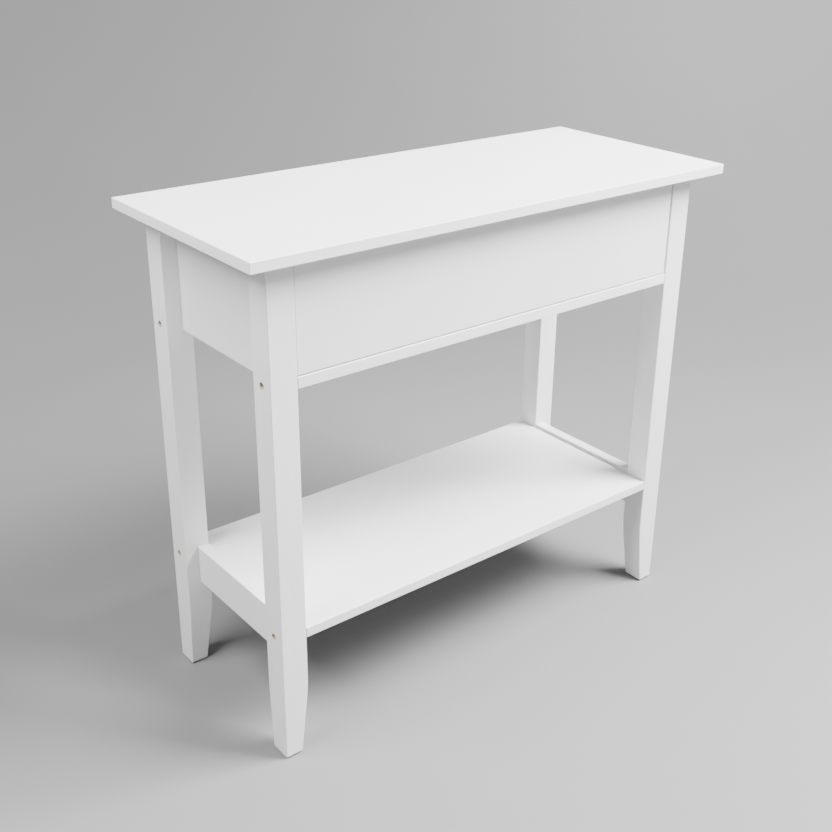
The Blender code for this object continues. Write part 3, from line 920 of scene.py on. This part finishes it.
@dataclass(frozen=True)
class Leg:
    """One square leg, tapered near the floor on the two faces that look inwards."""

    side: Side
    end: End
    corner: float = 0.0015
    taper_start: float = 0.130
    taper_x: float = 0.013
    taper_y: float = 0.006
    soft: float = 0.35
    curve_steps: int = 14
    straight_steps: int = 4
    rounding_steps: int = 3
    counterbore: float = 0.0047
    counterbore_depth: float = 0.0120
    shank: float = 0.0033
    rim: float = 0.00035
    nail_hole: float = 0.0012

    @property
    def node(self) -> str:
        """The CAD node that this leg stands for."""
        return f"leg_{self.end.label}_{self.side.label}"

    def taper(self, share: float) -> float:
        """Share of the full taper at a share of the way down, soft at its start.

        Args:
            share: 0 where the taper starts and 1 at the foot.

        Returns:
            The share of the full taper.
        """
        scale = 1.0 - self.soft / 2
        if share < self.soft:
            return share**2 / (2 * self.soft) / scale
        return (share - self.soft / 2) / scale

    def levels(self, low: float, high: float) -> list[tuple[float, float]]:
        """Height of each section and how far it is drawn in at the rounded ends.

        Args:
            low: underside of the leg.
            high: top of the leg.

        Returns:
            The sections from the foot up.
        """
        quarter = range(self.rounding_steps + 1)
        turns = [math.radians(90.0 * step / self.rounding_steps) for step in quarter]
        corner = self.corner
        foot = [(low + corner * (1 - math.cos(t)), corner * (1 - math.sin(t))) for t in turns]
        head = [(high - (z - low), inset) for z, inset in reversed(foot)]
        reach = self.taper_start - low
        straight = range(1, self.straight_steps)
        shares = [1 - step / self.straight_steps * (1 - self.soft) for step in straight]
        shares += [self.soft * (1 - step / self.curve_steps) for step in range(self.curve_steps + 1)]
        middle = [(self.taper_start - share * reach, 0.0) for share in shares]
        return foot + middle + head

    def shaft(self) -> Shape:
        """The tapered shaft, in place."""
        low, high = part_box(self.node)
        side = self.side.value
        end = self.end.value
        loops = []
        for level, inset in self.levels(low.z, high.z):
            share = self.taper(max(0.0, (self.taper_start - level) / (self.taper_start - low.z)))
            cut_x = self.taper_x * share
            cut_y = self.taper_y * share
            left = low.x + inset + (cut_x if side > 0 else 0.0)
            right = high.x - inset - (cut_x if side < 0 else 0.0)
            near = low.y + inset + (cut_y if end > 0 else 0.0)
            far = high.y - inset - (cut_y if end < 0 else 0.0)
            ring = rounded_ring((left, near), (right, far), self.corner)
            loops.append([(x, y, level) for x, y in ring])
        shape = loft(loops)
        # Rounded corner faces take the second finish, whose lighter colour is a painted highlight.
        for face in shape.faces:
            normal = face.normal
            face.material_index = int(max(abs(part) for part in normal) < FLAT_SHARE)
        return shape

    def bores(self) -> list[Shape]:
        """Cutters for the screw holes, the dowels and the glide's nail."""
        low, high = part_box(self.node)
        outer = high.x if self.side.value > 0 else low.x
        middle_y = (low.y + high.y) / 2
        where = f"{self.end.label}_{self.side.label}"
        cutters = []
        for row in ("rail_screw", "shelf_screw"):
            screw_low, screw_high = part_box(f"{row}_{where}")
            mouth = Vector((outer, middle_y, (screw_low.z + screw_high.z) / 2))
            stations = (
                (self.counterbore, self.counterbore_depth),
                (self.shank, high.x - low.x + OVERSHOOT),
            )
            cutters.append(Bore(mouth, -self.side.outwards, stations, self.rim).cutter())
        for pin in (f"side_panel_dowel_{where}_lower", f"side_panel_dowel_{where}_upper"):
            cutters.append(bore_for(pin, self.end.inwards).cutter())
        cutters.append(bore_for(f"end_rail_dowel_{where}", self.end.inwards).cutter())
        if self.end is End.BACK:
            pin = f"back_panel_dowel_{self.side.label}"
            cutters.append(bore_for(pin, -self.side.outwards).cutter())
        glide_low, glide_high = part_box(f"floor_glide_{where}")
        mouth = Vector(((glide_low.x + glide_high.x) / 2, (glide_low.y + glide_high.y) / 2, low.z))
        cutters.append(Bore(mouth, Axis.Z.vector, ((self.nail_hole, glide_high.z),)).cutter())
        return cutters

    def build(self) -> None:
        """Make the leg with its bores."""
        name = self.node + "_post"
        piece = make_piece(name, self.shaft(), POST_LACQUER, POST_EDGE_HIGHLIGHT)
        carve(piece, self.bores())
        settle(piece, FRAME_BODY, "white_lacquer", self.node)


@dataclass(frozen=True)
class EndFrame:
    """The side panel and the low rail between a front and a back leg."""

    side: Side
    pocket: float = 0.0046
    pocket_shoulder: float = 0.014
    pocket_length: float = 0.060
    screw_hole: float = 0.0023
    slide_hole: float = 0.0018
    slide_hole_depth: float = 0.0090

    def slide_bores(self) -> list[Shape]:
        """Cutters for the small screws of the slide's channel, in the panel's inner face."""
        low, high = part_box(f"side_panel_{self.side.label}")
        channel_low, channel_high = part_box(f"cabinet_slide_{self.side.label}")
        inner = low.x if self.side.value > 0 else high.x
        level = (channel_low.z + channel_high.z) / 2
        stations = ((self.slide_hole, self.slide_hole_depth),)
        mouths = [Vector((inner, y, level)) for y in CHANNEL_SCREWS]
        return [Bore(mouth, self.side.outwards, stations).cutter() for mouth in mouths]

    def end_bores(self, rows: Sequence[str]) -> list[Shape]:
        """Cutters for the dowels in both ends of a board.

        Args:
            rows: dowel name patterns with a place for the end's word.

        Returns:
            The cutters.
        """
        cutters = []
        for end in End:
            for row in rows:
                cutters.append(bore_for(row.format(end=end.label), -end.inwards).cutter())
        return cutters

    def pockets(self) -> list[Shape]:
        """Cutters for the leaning pockets on the panel's inner face."""
        _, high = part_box(f"side_panel_{self.side.label}")
        stations = (
            (self.screw_hole, self.pocket_shoulder),
            (self.pocket, self.pocket_shoulder + self.pocket_length),
        )
        lines = [top_screw_line(self.side, end, high.z) for end in End]
        return [Bore(place, -lean, stations).cutter() for place, lean in lines]

    def build(self) -> None:
        """Make the panel and the rail."""
        label = self.side.label
        rows = [f"side_panel_dowel_{{end}}_{label}_{level}" for level in ("lower", "upper")]
        panel_cutters = self.end_bores(rows) + self.pockets() + self.slide_bores()
        Board(f"side_panel_{label}", Axis.Y).build(panel_cutters)
        rail_cutters = self.end_bores([f"end_rail_dowel_{{end}}_{label}"])
        Board(f"end_rail_{label}", Axis.Y).build(rail_cutters)


@dataclass(frozen=True)
class CrossBoards:
    """The boards that span between the legs: two rails, the back panel and the shelf."""

    screw_bore: float = 0.0033
    screw_bore_depth: float = 0.050

    def screw_bores(self, row: str, ends: Sequence[End]) -> list[Shape]:
        """Cutters for the long screws that come in through the legs.

        Args:
            row: first word of the screws' names.
            ends: which legs they come through.

        Returns:
            The cutters.
        """
        cutters = []
        stations = ((self.screw_bore, self.screw_bore_depth),)
        for side in Side:
            for end in ends:
                low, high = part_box(f"{row}_{end.label}_{side.label}")
                tip = low.x if side.value > 0 else high.x
                middle = (low + high) / 2
                start = Vector((tip - side.value * CLEARANCE, middle.y, middle.z))
                cutters.append(Bore(start, side.outwards, stations).cutter())
        return cutters

    def build(self) -> None:
        """Make the four boards."""
        Board("front_rail", Axis.X).build(self.screw_bores("rail_screw", [End.FRONT]))
        Board("back_rail", Axis.X).build(self.screw_bores("rail_screw", [End.BACK]))
        Board("shelf", Axis.X).build(self.screw_bores("shelf_screw", list(End)))
        pins = [bore_for(f"back_panel_dowel_{side.label}", side.outwards).cutter() for side in Side]
        Board("back_panel", Axis.X).build(pins)


# ---- fasteners ----------------------------------------------------------------------------
@dataclass(frozen=True)
class Screw:
    """A turned screw with a cross recess and a ringed thread, its head at local +Z."""

    head: float
    head_height: float
    shank: float
    length: float
    pitch: float = 0.0016
    thread_share: float = 0.75
    neck_share: float = 0.78
    tip_share: float = 0.70
    crown_share: float = 0.35
    flat_share: float = 0.72
    recess_reach: float = 0.62
    recess_width: float = 0.15
    recess_depth: float = 0.75
    thread: tuple[Station, ...] = ((1.0, 0.35), (1.0, 0.50), (0.72, 0.80))
    sides: int = 28

    def profile(self) -> list[Station]:
        """Radius and height of each station, from the head's top to the tip."""
        neck = self.shank * self.neck_share
        thread_start = -self.length + self.thread_share * (self.length - self.head_height)
        stations = [
            (0.0, 0.0),
            (self.head * self.flat_share, 0.0),
            (self.head, -self.head_height * self.crown_share),
            (self.head, -self.head_height),
            (neck, -self.head_height),
            (neck, thread_start),
        ]
        tip = -self.length + self.shank * 2
        level = thread_start
        while level - self.pitch > tip:
            for width, drop in self.thread:
                stations.append((self.shank * width, level - self.pitch * drop))
            level -= self.pitch
        return [*stations, (self.shank * self.tip_share, tip), (0.0, -self.length)]

    def template(self) -> bpy.types.Mesh:
        """The screw around its own axis, with the cross recess cut, as a mesh to copy."""
        blank = make_piece("screw_blank", turned(self.profile(), self.sides), ZINC)
        wide = self.head * self.recess_reach
        slim = self.head * self.recess_width
        floor = -self.head_height * self.recess_depth
        for turn in (0.0, math.pi / 2):
            bar = box_shape(Vector((-wide, -slim, floor)), Vector((wide, slim, OVERSHOOT)))
            carve(blank, [moved(bar, Matrix.Rotation(turn, 4, "Z"))], ZINC)
        mesh = blank.data
        bpy.data.objects.remove(blank)
        return mesh


def place_screw(
    name: str, template: bpy.types.Mesh, matrix: Matrix, body: str, *nodes: str
) -> bpy.types.Object:
    """Put a copy of a screw in place.

    Args:
        name: name of the piece.
        template: mesh around its own axis.
        matrix: placement of the head's top.
        body: body that it rides on.
        nodes: CAD nodes that it replaces.

    Returns:
        The piece.
    """
    mesh = template.copy()
    mesh.transform(matrix)
    piece = bpy.data.objects.new(name, mesh)
    bpy.context.scene.collection.objects.link(piece)
    return settle(piece, body, "zinc_steel", *nodes)


@dataclass(frozen=True)
class FrameFasteners:
    """The screws and dowels that hold the frame and the drawer together."""

    nodes: dict[str, bpy.types.Object]
    leg_head_height: float = 0.0025
    leg_shank: float = 0.0029
    top_shoulder: float = 0.0143
    top_head: float = 0.0040
    top_head_height: float = 0.0020
    top_shank: float = 0.0019
    top_bite: float = 0.0105
    top_pitch: float = 0.0011

    def build_leg_screws(self) -> None:
        """Make the screws at the bottom of the legs' stepped holes."""
        low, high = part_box("rail_screw_front_left")
        head = (high.z - low.z) / 2
        kit = Screw(head, self.leg_head_height, self.leg_shank, high.x - low.x)
        template = kit.template()
        for side in Side:
            for end in End:
                for row in ("rail_screw", "shelf_screw"):
                    node = f"{row}_{end.label}_{side.label}"
                    low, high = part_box(node)
                    middle = (low + high) / 2
                    middle.x = high.x if side.value > 0 else low.x
                    matrix = pointing(side.outwards, middle)
                    place_screw(node + "_zinc", template, matrix, FRAME_BODY, node)

    def build_top_screws(self) -> None:
        """Make the pan head screws in the side panels' pockets."""
        reach = self.top_shoulder + self.top_head_height
        length = reach + self.top_bite
        kit = Screw(self.top_head, self.top_head_height, self.top_shank, length, self.top_pitch)
        template = kit.template()
        for side in Side:
            _, panel_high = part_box(f"side_panel_{side.label}")
            for end in End:
                node = f"top_screw_{end.label}_{side.label}"
                start, lean = top_screw_line(side, end, panel_high.z)
                matrix = pointing(-lean, start - lean * reach)
                place_screw(node + "_zinc", template, matrix, FRAME_BODY, node)

    def dress_dowels(self) -> None:
        """Give the dowels beech with its grain along each one."""
        for name, node in self.nodes.items():
            if "dowel" in name:
                low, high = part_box(name)
                span = high - low
                grain = Axis.X if span.x > span.y else Axis.Y
                dress(node, BEECH[grain])

    def build(self) -> None:
        """Make the screws and dress the dowels."""
        self.build_leg_screws()
        self.build_top_screws()
        self.dress_dowels()


@dataclass(frozen=True)
class FloorGlides:
    """Thin nail-on glides under the feet."""

    rounding: float = 0.0006
    rounding_share: float = 0.3
    nail: float = 0.0009
    nail_point_share: float = 0.3
    nail_taper: float = 0.002
    rise: float = 0.002
    sides: int = 48

    def build(self) -> None:
        """Make the four glides."""
        for side in Side:
            for end in End:
                node = f"floor_glide_{end.label}_{side.label}"
                low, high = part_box(node)
                radius = (high.y - low.y) / 2
                soft = self.rounding * self.rounding_share
                profile = [
                    (0.0, high.z),
                    (self.nail * self.nail_point_share, high.z),
                    (self.nail, high.z - self.nail_taper),
                    (self.nail, self.rise),
                    (radius - self.rounding, self.rise),
                    (radius - soft, self.rise - soft),
                    (radius, self.rise - self.rounding),
                    (radius, self.rounding),
                    (radius - soft, soft),
                    (radius - self.rounding, 0.0),
                    (0.0, 0.0),
                ]
                middle = (low + high) / 2
                matrix = Matrix.Translation((middle.x, middle.y, 0.0))
                disc = moved(turned(profile, self.sides), matrix)
                piece = make_piece(node + "_disc", disc, GLIDE)
                settle(piece, FRAME_BODY, "glide_plastic", node)


# ---- drawer -------------------------------------------------------------------------------
@dataclass(frozen=True)
class DrawerBox:
    """The drawer: a front with a finger chamfer, two sides, a back and a thin floor."""

    front_edge: float = 0.0010
    box_edge: float = 0.0007
    chamfer: float = 0.0080
    groove_slack: float = 0.0005
    groove_depth: float = 0.0060
    housing_depth: float = 0.0040
    housing_drop: float = 0.0010
    floor_edge: float = 0.0003
    runner_hole: float = 0.0018
    runner_hole_depth: float = 0.0090

    def front_blank(self) -> Shape:
        """The front board with its chamfer along the inner top edge."""
        low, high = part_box("drawer_front")
        ring = (
            (low.y, low.z),
            (high.y, low.z),
            (high.y, high.z - self.chamfer),
            (high.y - self.chamfer, high.z),
            (low.y, high.z),
        )
        shape = loft([[(x, y, z) for y, z in ring] for x in (low.x, high.x)])
        return round_edges(shape, self.front_edge)

    def groove_levels(self) -> tuple[float, float]:
        """Lower and upper level of the floor's groove."""
        low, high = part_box("drawer_floor")
        return low.z - self.groove_slack, high.z + self.groove_slack

    def build_front(self) -> None:
        """Make the front with its groove and dowel holes."""
        _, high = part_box("drawer_front")
        floor_low, floor_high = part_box("drawer_floor")
        bottom, top = self.groove_levels()
        cutters = [
            box_shape(
                Vector((floor_low.x - self.groove_slack, high.y - self.groove_depth, bottom)),
                Vector((floor_high.x + self.groove_slack, high.y + OVERSHOOT, top)),
            )
        ]
        for side in Side:
            for level in ("lower", "upper"):
                pin = f"drawer_dowel_{side.label}_{level}"
                cutters.append(bore_for(pin, Axis.Y.vector).cutter())
        piece = make_piece(
            "drawer_front_board", self.front_blank(), LACQUER[Axis.X], EDGE_HIGHLIGHT_LACQUER[Axis.X]
        )
        carve(piece, cutters)
        settle(piece, DRAWER_BODY, "white_lacquer", "drawer_front")

    def build_side(self, side: Side) -> None:
        """Make one side with its groove, its housing for the back and its dowel holes.

        Args:
            side: which side.
        """
        node = f"drawer_side_{side.label}"
        low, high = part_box(node)
        back_low, back_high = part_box("drawer_back")
        inner = low.x if side.value > 0 else high.x
        bottom, top = self.groove_levels()
        near, far = sorted((inner + side.value * self.groove_depth, inner - side.value * OVERSHOOT))
        cutters = [
            box_shape(
                Vector((near, low.y - OVERSHOOT, bottom)), Vector((far, high.y + OVERSHOOT, top))
            )
        ]
        near, far = sorted((inner + side.value * self.housing_depth, inner - side.value * OVERSHOOT))
        housing = box_shape(
            Vector((near, back_low.y - CLEARANCE, top - self.housing_drop)),
            Vector((far, back_high.y + CLEARANCE, high.z + OVERSHOOT)),
        )
        for level in ("lower", "upper"):
            pin = f"drawer_dowel_{side.label}_{level}"
            cutters.append(bore_for(pin, -Axis.Y.vector).cutter())
        for y in RUNNER_SCREWS:
            mouth = Vector(((low.x + high.x) / 2, y, low.z))
            stations = ((self.runner_hole, self.runner_hole_depth),)
            cutters.append(Bore(mouth, Axis.Z.vector, stations).cutter())
        piece = Board(node, Axis.Y, self.box_edge, DRAWER_BODY).blank()
        carve(piece, cutters)
        carve(piece, [housing])
        settle(piece, DRAWER_BODY, "white_lacquer", node)

    def build(self) -> None:
        """Make the five boards of the drawer."""
        self.build_front()
        for side in Side:
            self.build_side(side)
        Board("drawer_back", Axis.X, self.box_edge, DRAWER_BODY).build()
        panel = round_edges(box_shape(*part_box("drawer_floor")), self.floor_edge, 2)
        floor = make_piece("drawer_floor_panel", panel, HARDBOARD, HARDBOARD)
        settle(floor, DRAWER_BODY, "hardboard", "drawer_floor")


# ---- slides -------------------------------------------------------------------------------
def folded(line: Outline, radius: float, steps: int = 5) -> list[Vector]:
    """Centre line of a bent sheet, with an arc at each fold.

    Args:
        line: corners of the centre line.
        radius: radius of the folds.
        steps: faces at each fold.

    Returns:
        The points of the line.
    """
    corners = [Vector(point) for point in line]
    points = [corners[0]]
    for before, corner, after in zip(corners, corners[1:], corners[2:]):
        towards = (before - corner).normalized()
        onwards = (after - corner).normalized()
        centre = corner + (towards + onwards) * radius
        for step in range(steps + 1):
            turn = math.pi / 2 * step / steps
            points.append(centre - onwards * radius * math.cos(turn) - towards * radius * math.sin(turn))
    points.append(corners[-1])
    return points


def sheet_section(line: Sequence[Vector], thickness: float) -> list[Vector]:
    """Closed outline of a sheet that follows a centre line.

    Args:
        line: centre line.
        thickness: thickness of the sheet.

    Returns:
        The outline.
    """
    outer = []
    inner = []
    for index, point in enumerate(line):
        before = line[max(index - 1, 0)]
        after = line[min(index + 1, len(line) - 1)]
        along = (after - before).normalized()
        across = Vector((-along.y, along.x)) * (thickness / 2)
        outer.append(point + across)
        inner.append(point - across)
    return outer + inner[::-1]


@dataclass(frozen=True)
class SlidePair:
    """Roller slides on one side: a channel on the cabinet and a runner under the drawer."""

    side: Side
    sheet: float = 0.0012
    fold: float = 0.0011
    runner_foot: float = 0.0100
    rivet: float = 0.0020
    rivet_head: float = 0.0026
    rivet_head_height: float = 0.0008
    rivet_rim_share: float = 0.6
    rivet_crown_share: float = 0.7
    rivet_sides: int = 28
    roller_face: float = 0.0091
    runner_rivet_face: float = 0.0037
    slot_length: float = 0.0070
    slot_width: float = 0.0034
    channel_lip: float = 0.0095
    channel_slots: tuple[float, ...] = (-0.066, 0.000, 0.056)
    runner_web: float = 0.0111
    runner_flange_end: float = 0.0032
    runner_slots: tuple[float, ...] = (-0.050, 0.030)
    screw: Screw = Screw(
        head=0.0028, head_height=0.0010, shank=0.0015, length=0.0100, pitch=0.0009
    )

    def leg_face(self) -> float:
        """X of the legs' inner face on this side."""
        low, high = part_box(f"leg_front_{self.side.label}")
        return low.x if self.side.value > 0 else high.x

    def at(self, distance: float) -> float:
        """X of a point that lies a distance inwards of the legs' inner face."""
        return self.leg_face() - self.side.value * distance

    def pressed(self, name: str, line: Outline, near: float, far: float) -> bpy.types.Object:
        """Bent sheet that runs along the depth of the table.

        Args:
            name: name of the piece.
            line: centre line as distance from the leg and level.
            near: Y of its front end.
            far: Y of its back end.

        Returns:
            The piece.
        """
        section = sheet_section(folded(line, self.fold), self.sheet)
        loops = [[(self.at(point.x), y, point.y) for point in section] for y in (near, far)]
        return make_piece(name, loft(loops), POWDER)

    def slot(self, distance: float, y: float, level: float) -> Shape:
        """Cutter for an oblong screw slot through a web.

        Args:
            distance: how far the web is from the leg's face.
            y: middle of the slot.
            level: its height.

        Returns:
            The cutter.
        """
        half = self.slot_length / 2
        width = self.slot_width / 2
        ring = rounded_ring((y - half, level - width), (y + half, level + width), width - TINY, 6)
        ends = (self.at(distance - self.sheet), self.at(distance + self.sheet))
        return loft([[(x, a, b) for a, b in ring] for x in ends])

    def rivet_shape(self, start: float, face: float, middle: Vector) -> Shape:
        """Turned rivet through a roller, with its head on the roller's far face.

        Args:
            start: distance from the leg's face to the web that holds it.
            face: distance from the leg's face to the underside of its head.
            middle: the roller's middle.

        Returns:
            The shape, in place.
        """
        height = math.copysign(self.rivet_head_height, face - start)
        profile = [
            (0.0, start),
            (self.rivet, start),
            (self.rivet, face),
            (self.rivet_head, face),
            (self.rivet_head, face + height * self.rivet_rim_share),
            (self.rivet_head * self.rivet_crown_share, face + height),
            (0.0, face + height),
        ]
        place = Vector((self.leg_face(), middle.y, middle.z))
        return moved(turned(profile, self.rivet_sides), pointing(-self.side.outwards, place))

    def build_channel(self) -> None:
        """Make the cabinet's channel with the front roller's rivet."""
        node = f"cabinet_slide_{self.side.label}"
        low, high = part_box(node)
        roller_low, roller_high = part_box(f"front_roller_{self.side.label}")
        roller = (roller_low + roller_high) / 2
        half = self.sheet / 2
        web = CLEARANCE + half
        lip = self.channel_lip
        line = ((lip, low.z + half), (web, low.z + half), (web, high.z - half), (lip, high.z - half))
        piece = self.pressed(node + "_channel", line, low.y, high.y)
        level = (low.z + high.z) / 2
        carve(piece, [self.slot(web, y, level) for y in self.channel_slots], POWDER)
        carve(piece, [self.rivet_shape(web, self.roller_face, roller)], ZINC, "UNION")
        settle(piece, FRAME_BODY, "white_runner", node)

    def build_runner(self) -> None:
        """Make the drawer's runner with the rear roller's rivet."""
        node = f"drawer_slide_{self.side.label}"
        drawer_low, drawer_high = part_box(f"drawer_side_{self.side.label}")
        roller_low, roller_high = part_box(f"rear_roller_{self.side.label}")
        front_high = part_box(f"front_roller_{self.side.label}")[1]
        roller = (roller_low + roller_high) / 2
        half = self.sheet / 2
        web = self.runner_web
        foot = drawer_low.z - CLEARANCE - half
        flange = front_high.z + CLEARANCE + half
        flange_end = self.runner_flange_end
        line = ((web + self.runner_foot, foot), (web, foot), (web, flange), (flange_end, flange))
        piece = self.pressed(node + "_runner", line, drawer_low.y, drawer_high.y)
        level = (foot + flange) / 2
        carve(piece, [self.slot(web, y, level) for y in self.runner_slots], POWDER)
        carve(piece, [self.rivet_shape(web, self.runner_rivet_face, roller)], ZINC, "UNION")
        settle(piece, DRAWER_BODY, "white_runner", node)

    def build_screws(self) -> None:
        """Make the small screws that hold the channel and the runner."""
        channel_low, channel_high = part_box(f"cabinet_slide_{self.side.label}")
        side_low, side_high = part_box(f"drawer_side_{self.side.label}")
        level = (channel_low.z + channel_high.z) / 2
        template = self.screw.template()
        web_face = self.at(CLEARANCE + self.sheet)
        for count, y in enumerate(CHANNEL_SCREWS, start=1):
            place = Vector((web_face - self.side.value * self.screw.head_height, y, level))
            matrix = pointing(-self.side.outwards, place)
            name = f"channel_screw_{self.side.label}_{count}"
            place_screw(name, template, matrix, FRAME_BODY)
        foot_face = side_low.z - CLEARANCE - self.sheet
        middle = (side_low.x + side_high.x) / 2
        for count, y in enumerate(RUNNER_SCREWS, start=1):
            place = Vector((middle, y, foot_face - self.screw.head_height))
            matrix = pointing(-Axis.Z.vector, place)
            name = f"runner_screw_{self.side.label}_{count}"
            place_screw(name, template, matrix, DRAWER_BODY)

    def build(self) -> None:
        """Make the channel, the runner and their screws."""
        self.build_channel()
        self.build_runner()
        self.build_screws()


@dataclass(frozen=True)
class Roller:
    """A nylon wheel on its rivet, with a dished face on both sides."""

    side: Side
    end: str
    bore: float = 0.00215
    rim: float = 0.0016
    hub: float = 0.0014
    dish: float = 0.0009
    rounding: float = 0.0005
    rounding_share: float = 0.3
    sides: int = 56

    def profile(self, radius: float, half: float) -> list[Station]:
        """Stations of the wheel's section, once round it.

        Args:
            radius: radius of the wheel.
            half: half its thickness.

        Returns:
            The stations.
        """
        hub = self.bore + self.hub
        rim = radius - self.rim
        deep = half - self.dish
        wide = self.rounding
        soft = wide * self.rounding_share
        upper = [
            (self.bore, half),
            (hub - soft, half),
            (hub, half - soft),
            (hub + wide / 2, deep),
            (rim - wide / 2, deep),
            (rim, half - soft),
            (rim + soft, half),
            (radius - wide, half),
            (radius - soft, half - soft),
            (radius, half - wide),
        ]
        return upper + [(r, -h) for r, h in reversed(upper)]

    def build(self) -> None:
        """Make the wheel."""
        node = f"{self.end}_roller_{self.side.label}"
        low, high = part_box(node)
        half_size = (high - low) / 2
        shape = turned(self.profile(half_size.z, half_size.x), self.sides, closed=True)
        middle = (low + high) / 2
        piece = make_piece(node + "_wheel", moved(shape, pointing(Axis.X.vector, middle)), NYLON)
        settle(piece, node, "white_nylon", node)


# ---- studio -------------------------------------------------------------------------------
@dataclass(frozen=True)
class SoftBox:
    """A soft rectangular light that looks at a point."""

    name: str
    place: Point
    target: Point
    size: tuple[float, float]
    power: float
    spread: float = 180.0

    def build(self) -> None:
        """Hang the light."""
        lamp = bpy.data.lights.new(self.name, "AREA")
        lamp.shape = "RECTANGLE"
        lamp.size, lamp.size_y = self.size
        lamp.energy = self.power
        lamp.spread = math.radians(self.spread)
        holder = bpy.data.objects.new(self.name, lamp)
        bpy.context.scene.collection.objects.link(holder)
        holder.location = self.place
        aim = Vector(self.target) - Vector(self.place)
        holder.rotation_euler = aim.to_track_quat("-Z", "Y").to_euler()
        holder.visible_camera = False


@dataclass(frozen=True)
class Viewpoint:
    """The still camera: where it stands, how it is turned, and its lens."""

    place: Point = (-1.05204, -1.27313, 1.15008)
    heading: float = math.radians(39.554)
    dip: float = math.radians(23.703)
    roll: float = math.radians(0.974)
    lens: float = 50.226
    shift: tuple[float, float] = (-0.0237, -0.0362)

    def build(self) -> None:
        """Stand the camera up and make it the scene's own."""
        data = bpy.data.cameras.new("still_camera")
        data.lens = self.lens
        data.shift_x, data.shift_y = self.shift
        camera = bpy.data.objects.new("still_camera", data)
        bpy.context.scene.collection.objects.link(camera)
        level = math.cos(self.dip)
        ahead = Vector(
            (math.sin(self.heading) * level, math.cos(self.heading) * level, -math.sin(self.dip))
        )
        flat_right = Vector((math.cos(self.heading), -math.sin(self.heading), 0.0))
        flat_up = flat_right.cross(ahead)
        right = flat_right * math.cos(self.roll) + flat_up * math.sin(self.roll)
        up = flat_up * math.cos(self.roll) - flat_right * math.sin(self.roll)
        turn = Matrix((right, up, -ahead)).transposed().to_4x4()
        camera.matrix_world = Matrix.Translation(self.place) @ turn
        bpy.context.scene.camera = camera


@dataclass(frozen=True)
class Studio:
    """A grey paper sweep that curves up all round, soft lights and the camera."""

    flat_radius: float = 1.35
    curve_radius: float = 2.0
    wall_top: float = 2.8
    flat_steps: int = 6
    curve_steps: int = 28
    sides: int = 128
    ambient: float = 0.06
    lights: tuple[SoftBox, ...] = (
        SoftBox("key", (1.045, -1.045, 2.162), (0.0, 0.0, 0.4), (1.2, 1.2), 332.0),
        SoftBox("left_high", (-1.478, 0.0, 2.162), (0.0, 0.0, 0.4), (1.2, 1.2), 102.0),
        SoftBox("sweep_wash", (2.0, 0.2, 2.3), (2.5, 1.8, 0.8), (0.6, 0.6), 22.0, 92.0),
    )

    def build_sweep(self) -> None:
        """Make the sweep as one curved sheet of paper."""
        flat = range(self.flat_steps + 1)
        stations = [(self.flat_radius * step / self.flat_steps, 0.0) for step in flat]
        for step in range(1, self.curve_steps + 1):
            turn = math.pi / 2 * step / self.curve_steps
            radius = self.flat_radius + self.curve_radius * math.sin(turn)
            stations.append((radius, self.curve_radius * (1 - math.cos(turn))))
        stations.append((stations[-1][0], self.wall_top))
        shape = turned(stations, self.sides)
        shape.faces.ensure_lookup_table()
        cap = max(shape.faces, key=lambda face: face.calc_center_median().z)
        bmesh.ops.delete(shape, geom=[cap], context="FACES_ONLY")
        bmesh.ops.reverse_faces(shape, faces=shape.faces)
        sweep = make_piece("paper_sweep", shape, SweepPaper("sweep_paper", "none"))
        sweep.data.shade_smooth()

    def build_world(self) -> None:
        """Give the room its even light."""
        world = bpy.data.worlds.new("soft_room")
        world.use_nodes = True
        background = world.node_tree.nodes["Background"]
        background.inputs["Color"].default_value = WHITE
        background.inputs["Strength"].default_value = self.ambient
        bpy.context.scene.world = world

    def build(self) -> None:
        """Make the sweep, the lights and the camera."""
        self.build_sweep()
        self.build_world()
        for light in self.lights:
            light.build()
        Viewpoint().build()
        LOG.info("studio: %d lights", len(self.lights))


# ---- the table ----------------------------------------------------------------------------
def clear_start_scene() -> None:
    """Remove the objects that a new file starts with."""
    for old in list(bpy.data.objects):
        bpy.data.objects.remove(old)


def main() -> None:
    """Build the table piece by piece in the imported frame, then the studio round it."""
    logging.basicConfig(level=logging.INFO, format="%(name)s: %(message)s")
    clear_start_scene()
    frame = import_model()

    TableTop().build()
    for side in Side:
        for end in End:
            Leg(side, end).build()
        EndFrame(side).build()
    CrossBoards().build()
    FrameFasteners(frame["nodes"]).build()
    FloorGlides().build()
    DrawerBox().build()
    for side in Side:
        SlidePair(side).build()
        for end_word in ("front", "rear"):
            Roller(side, end_word).build()
    Studio().build()


if __name__ == "__main__":
    main()
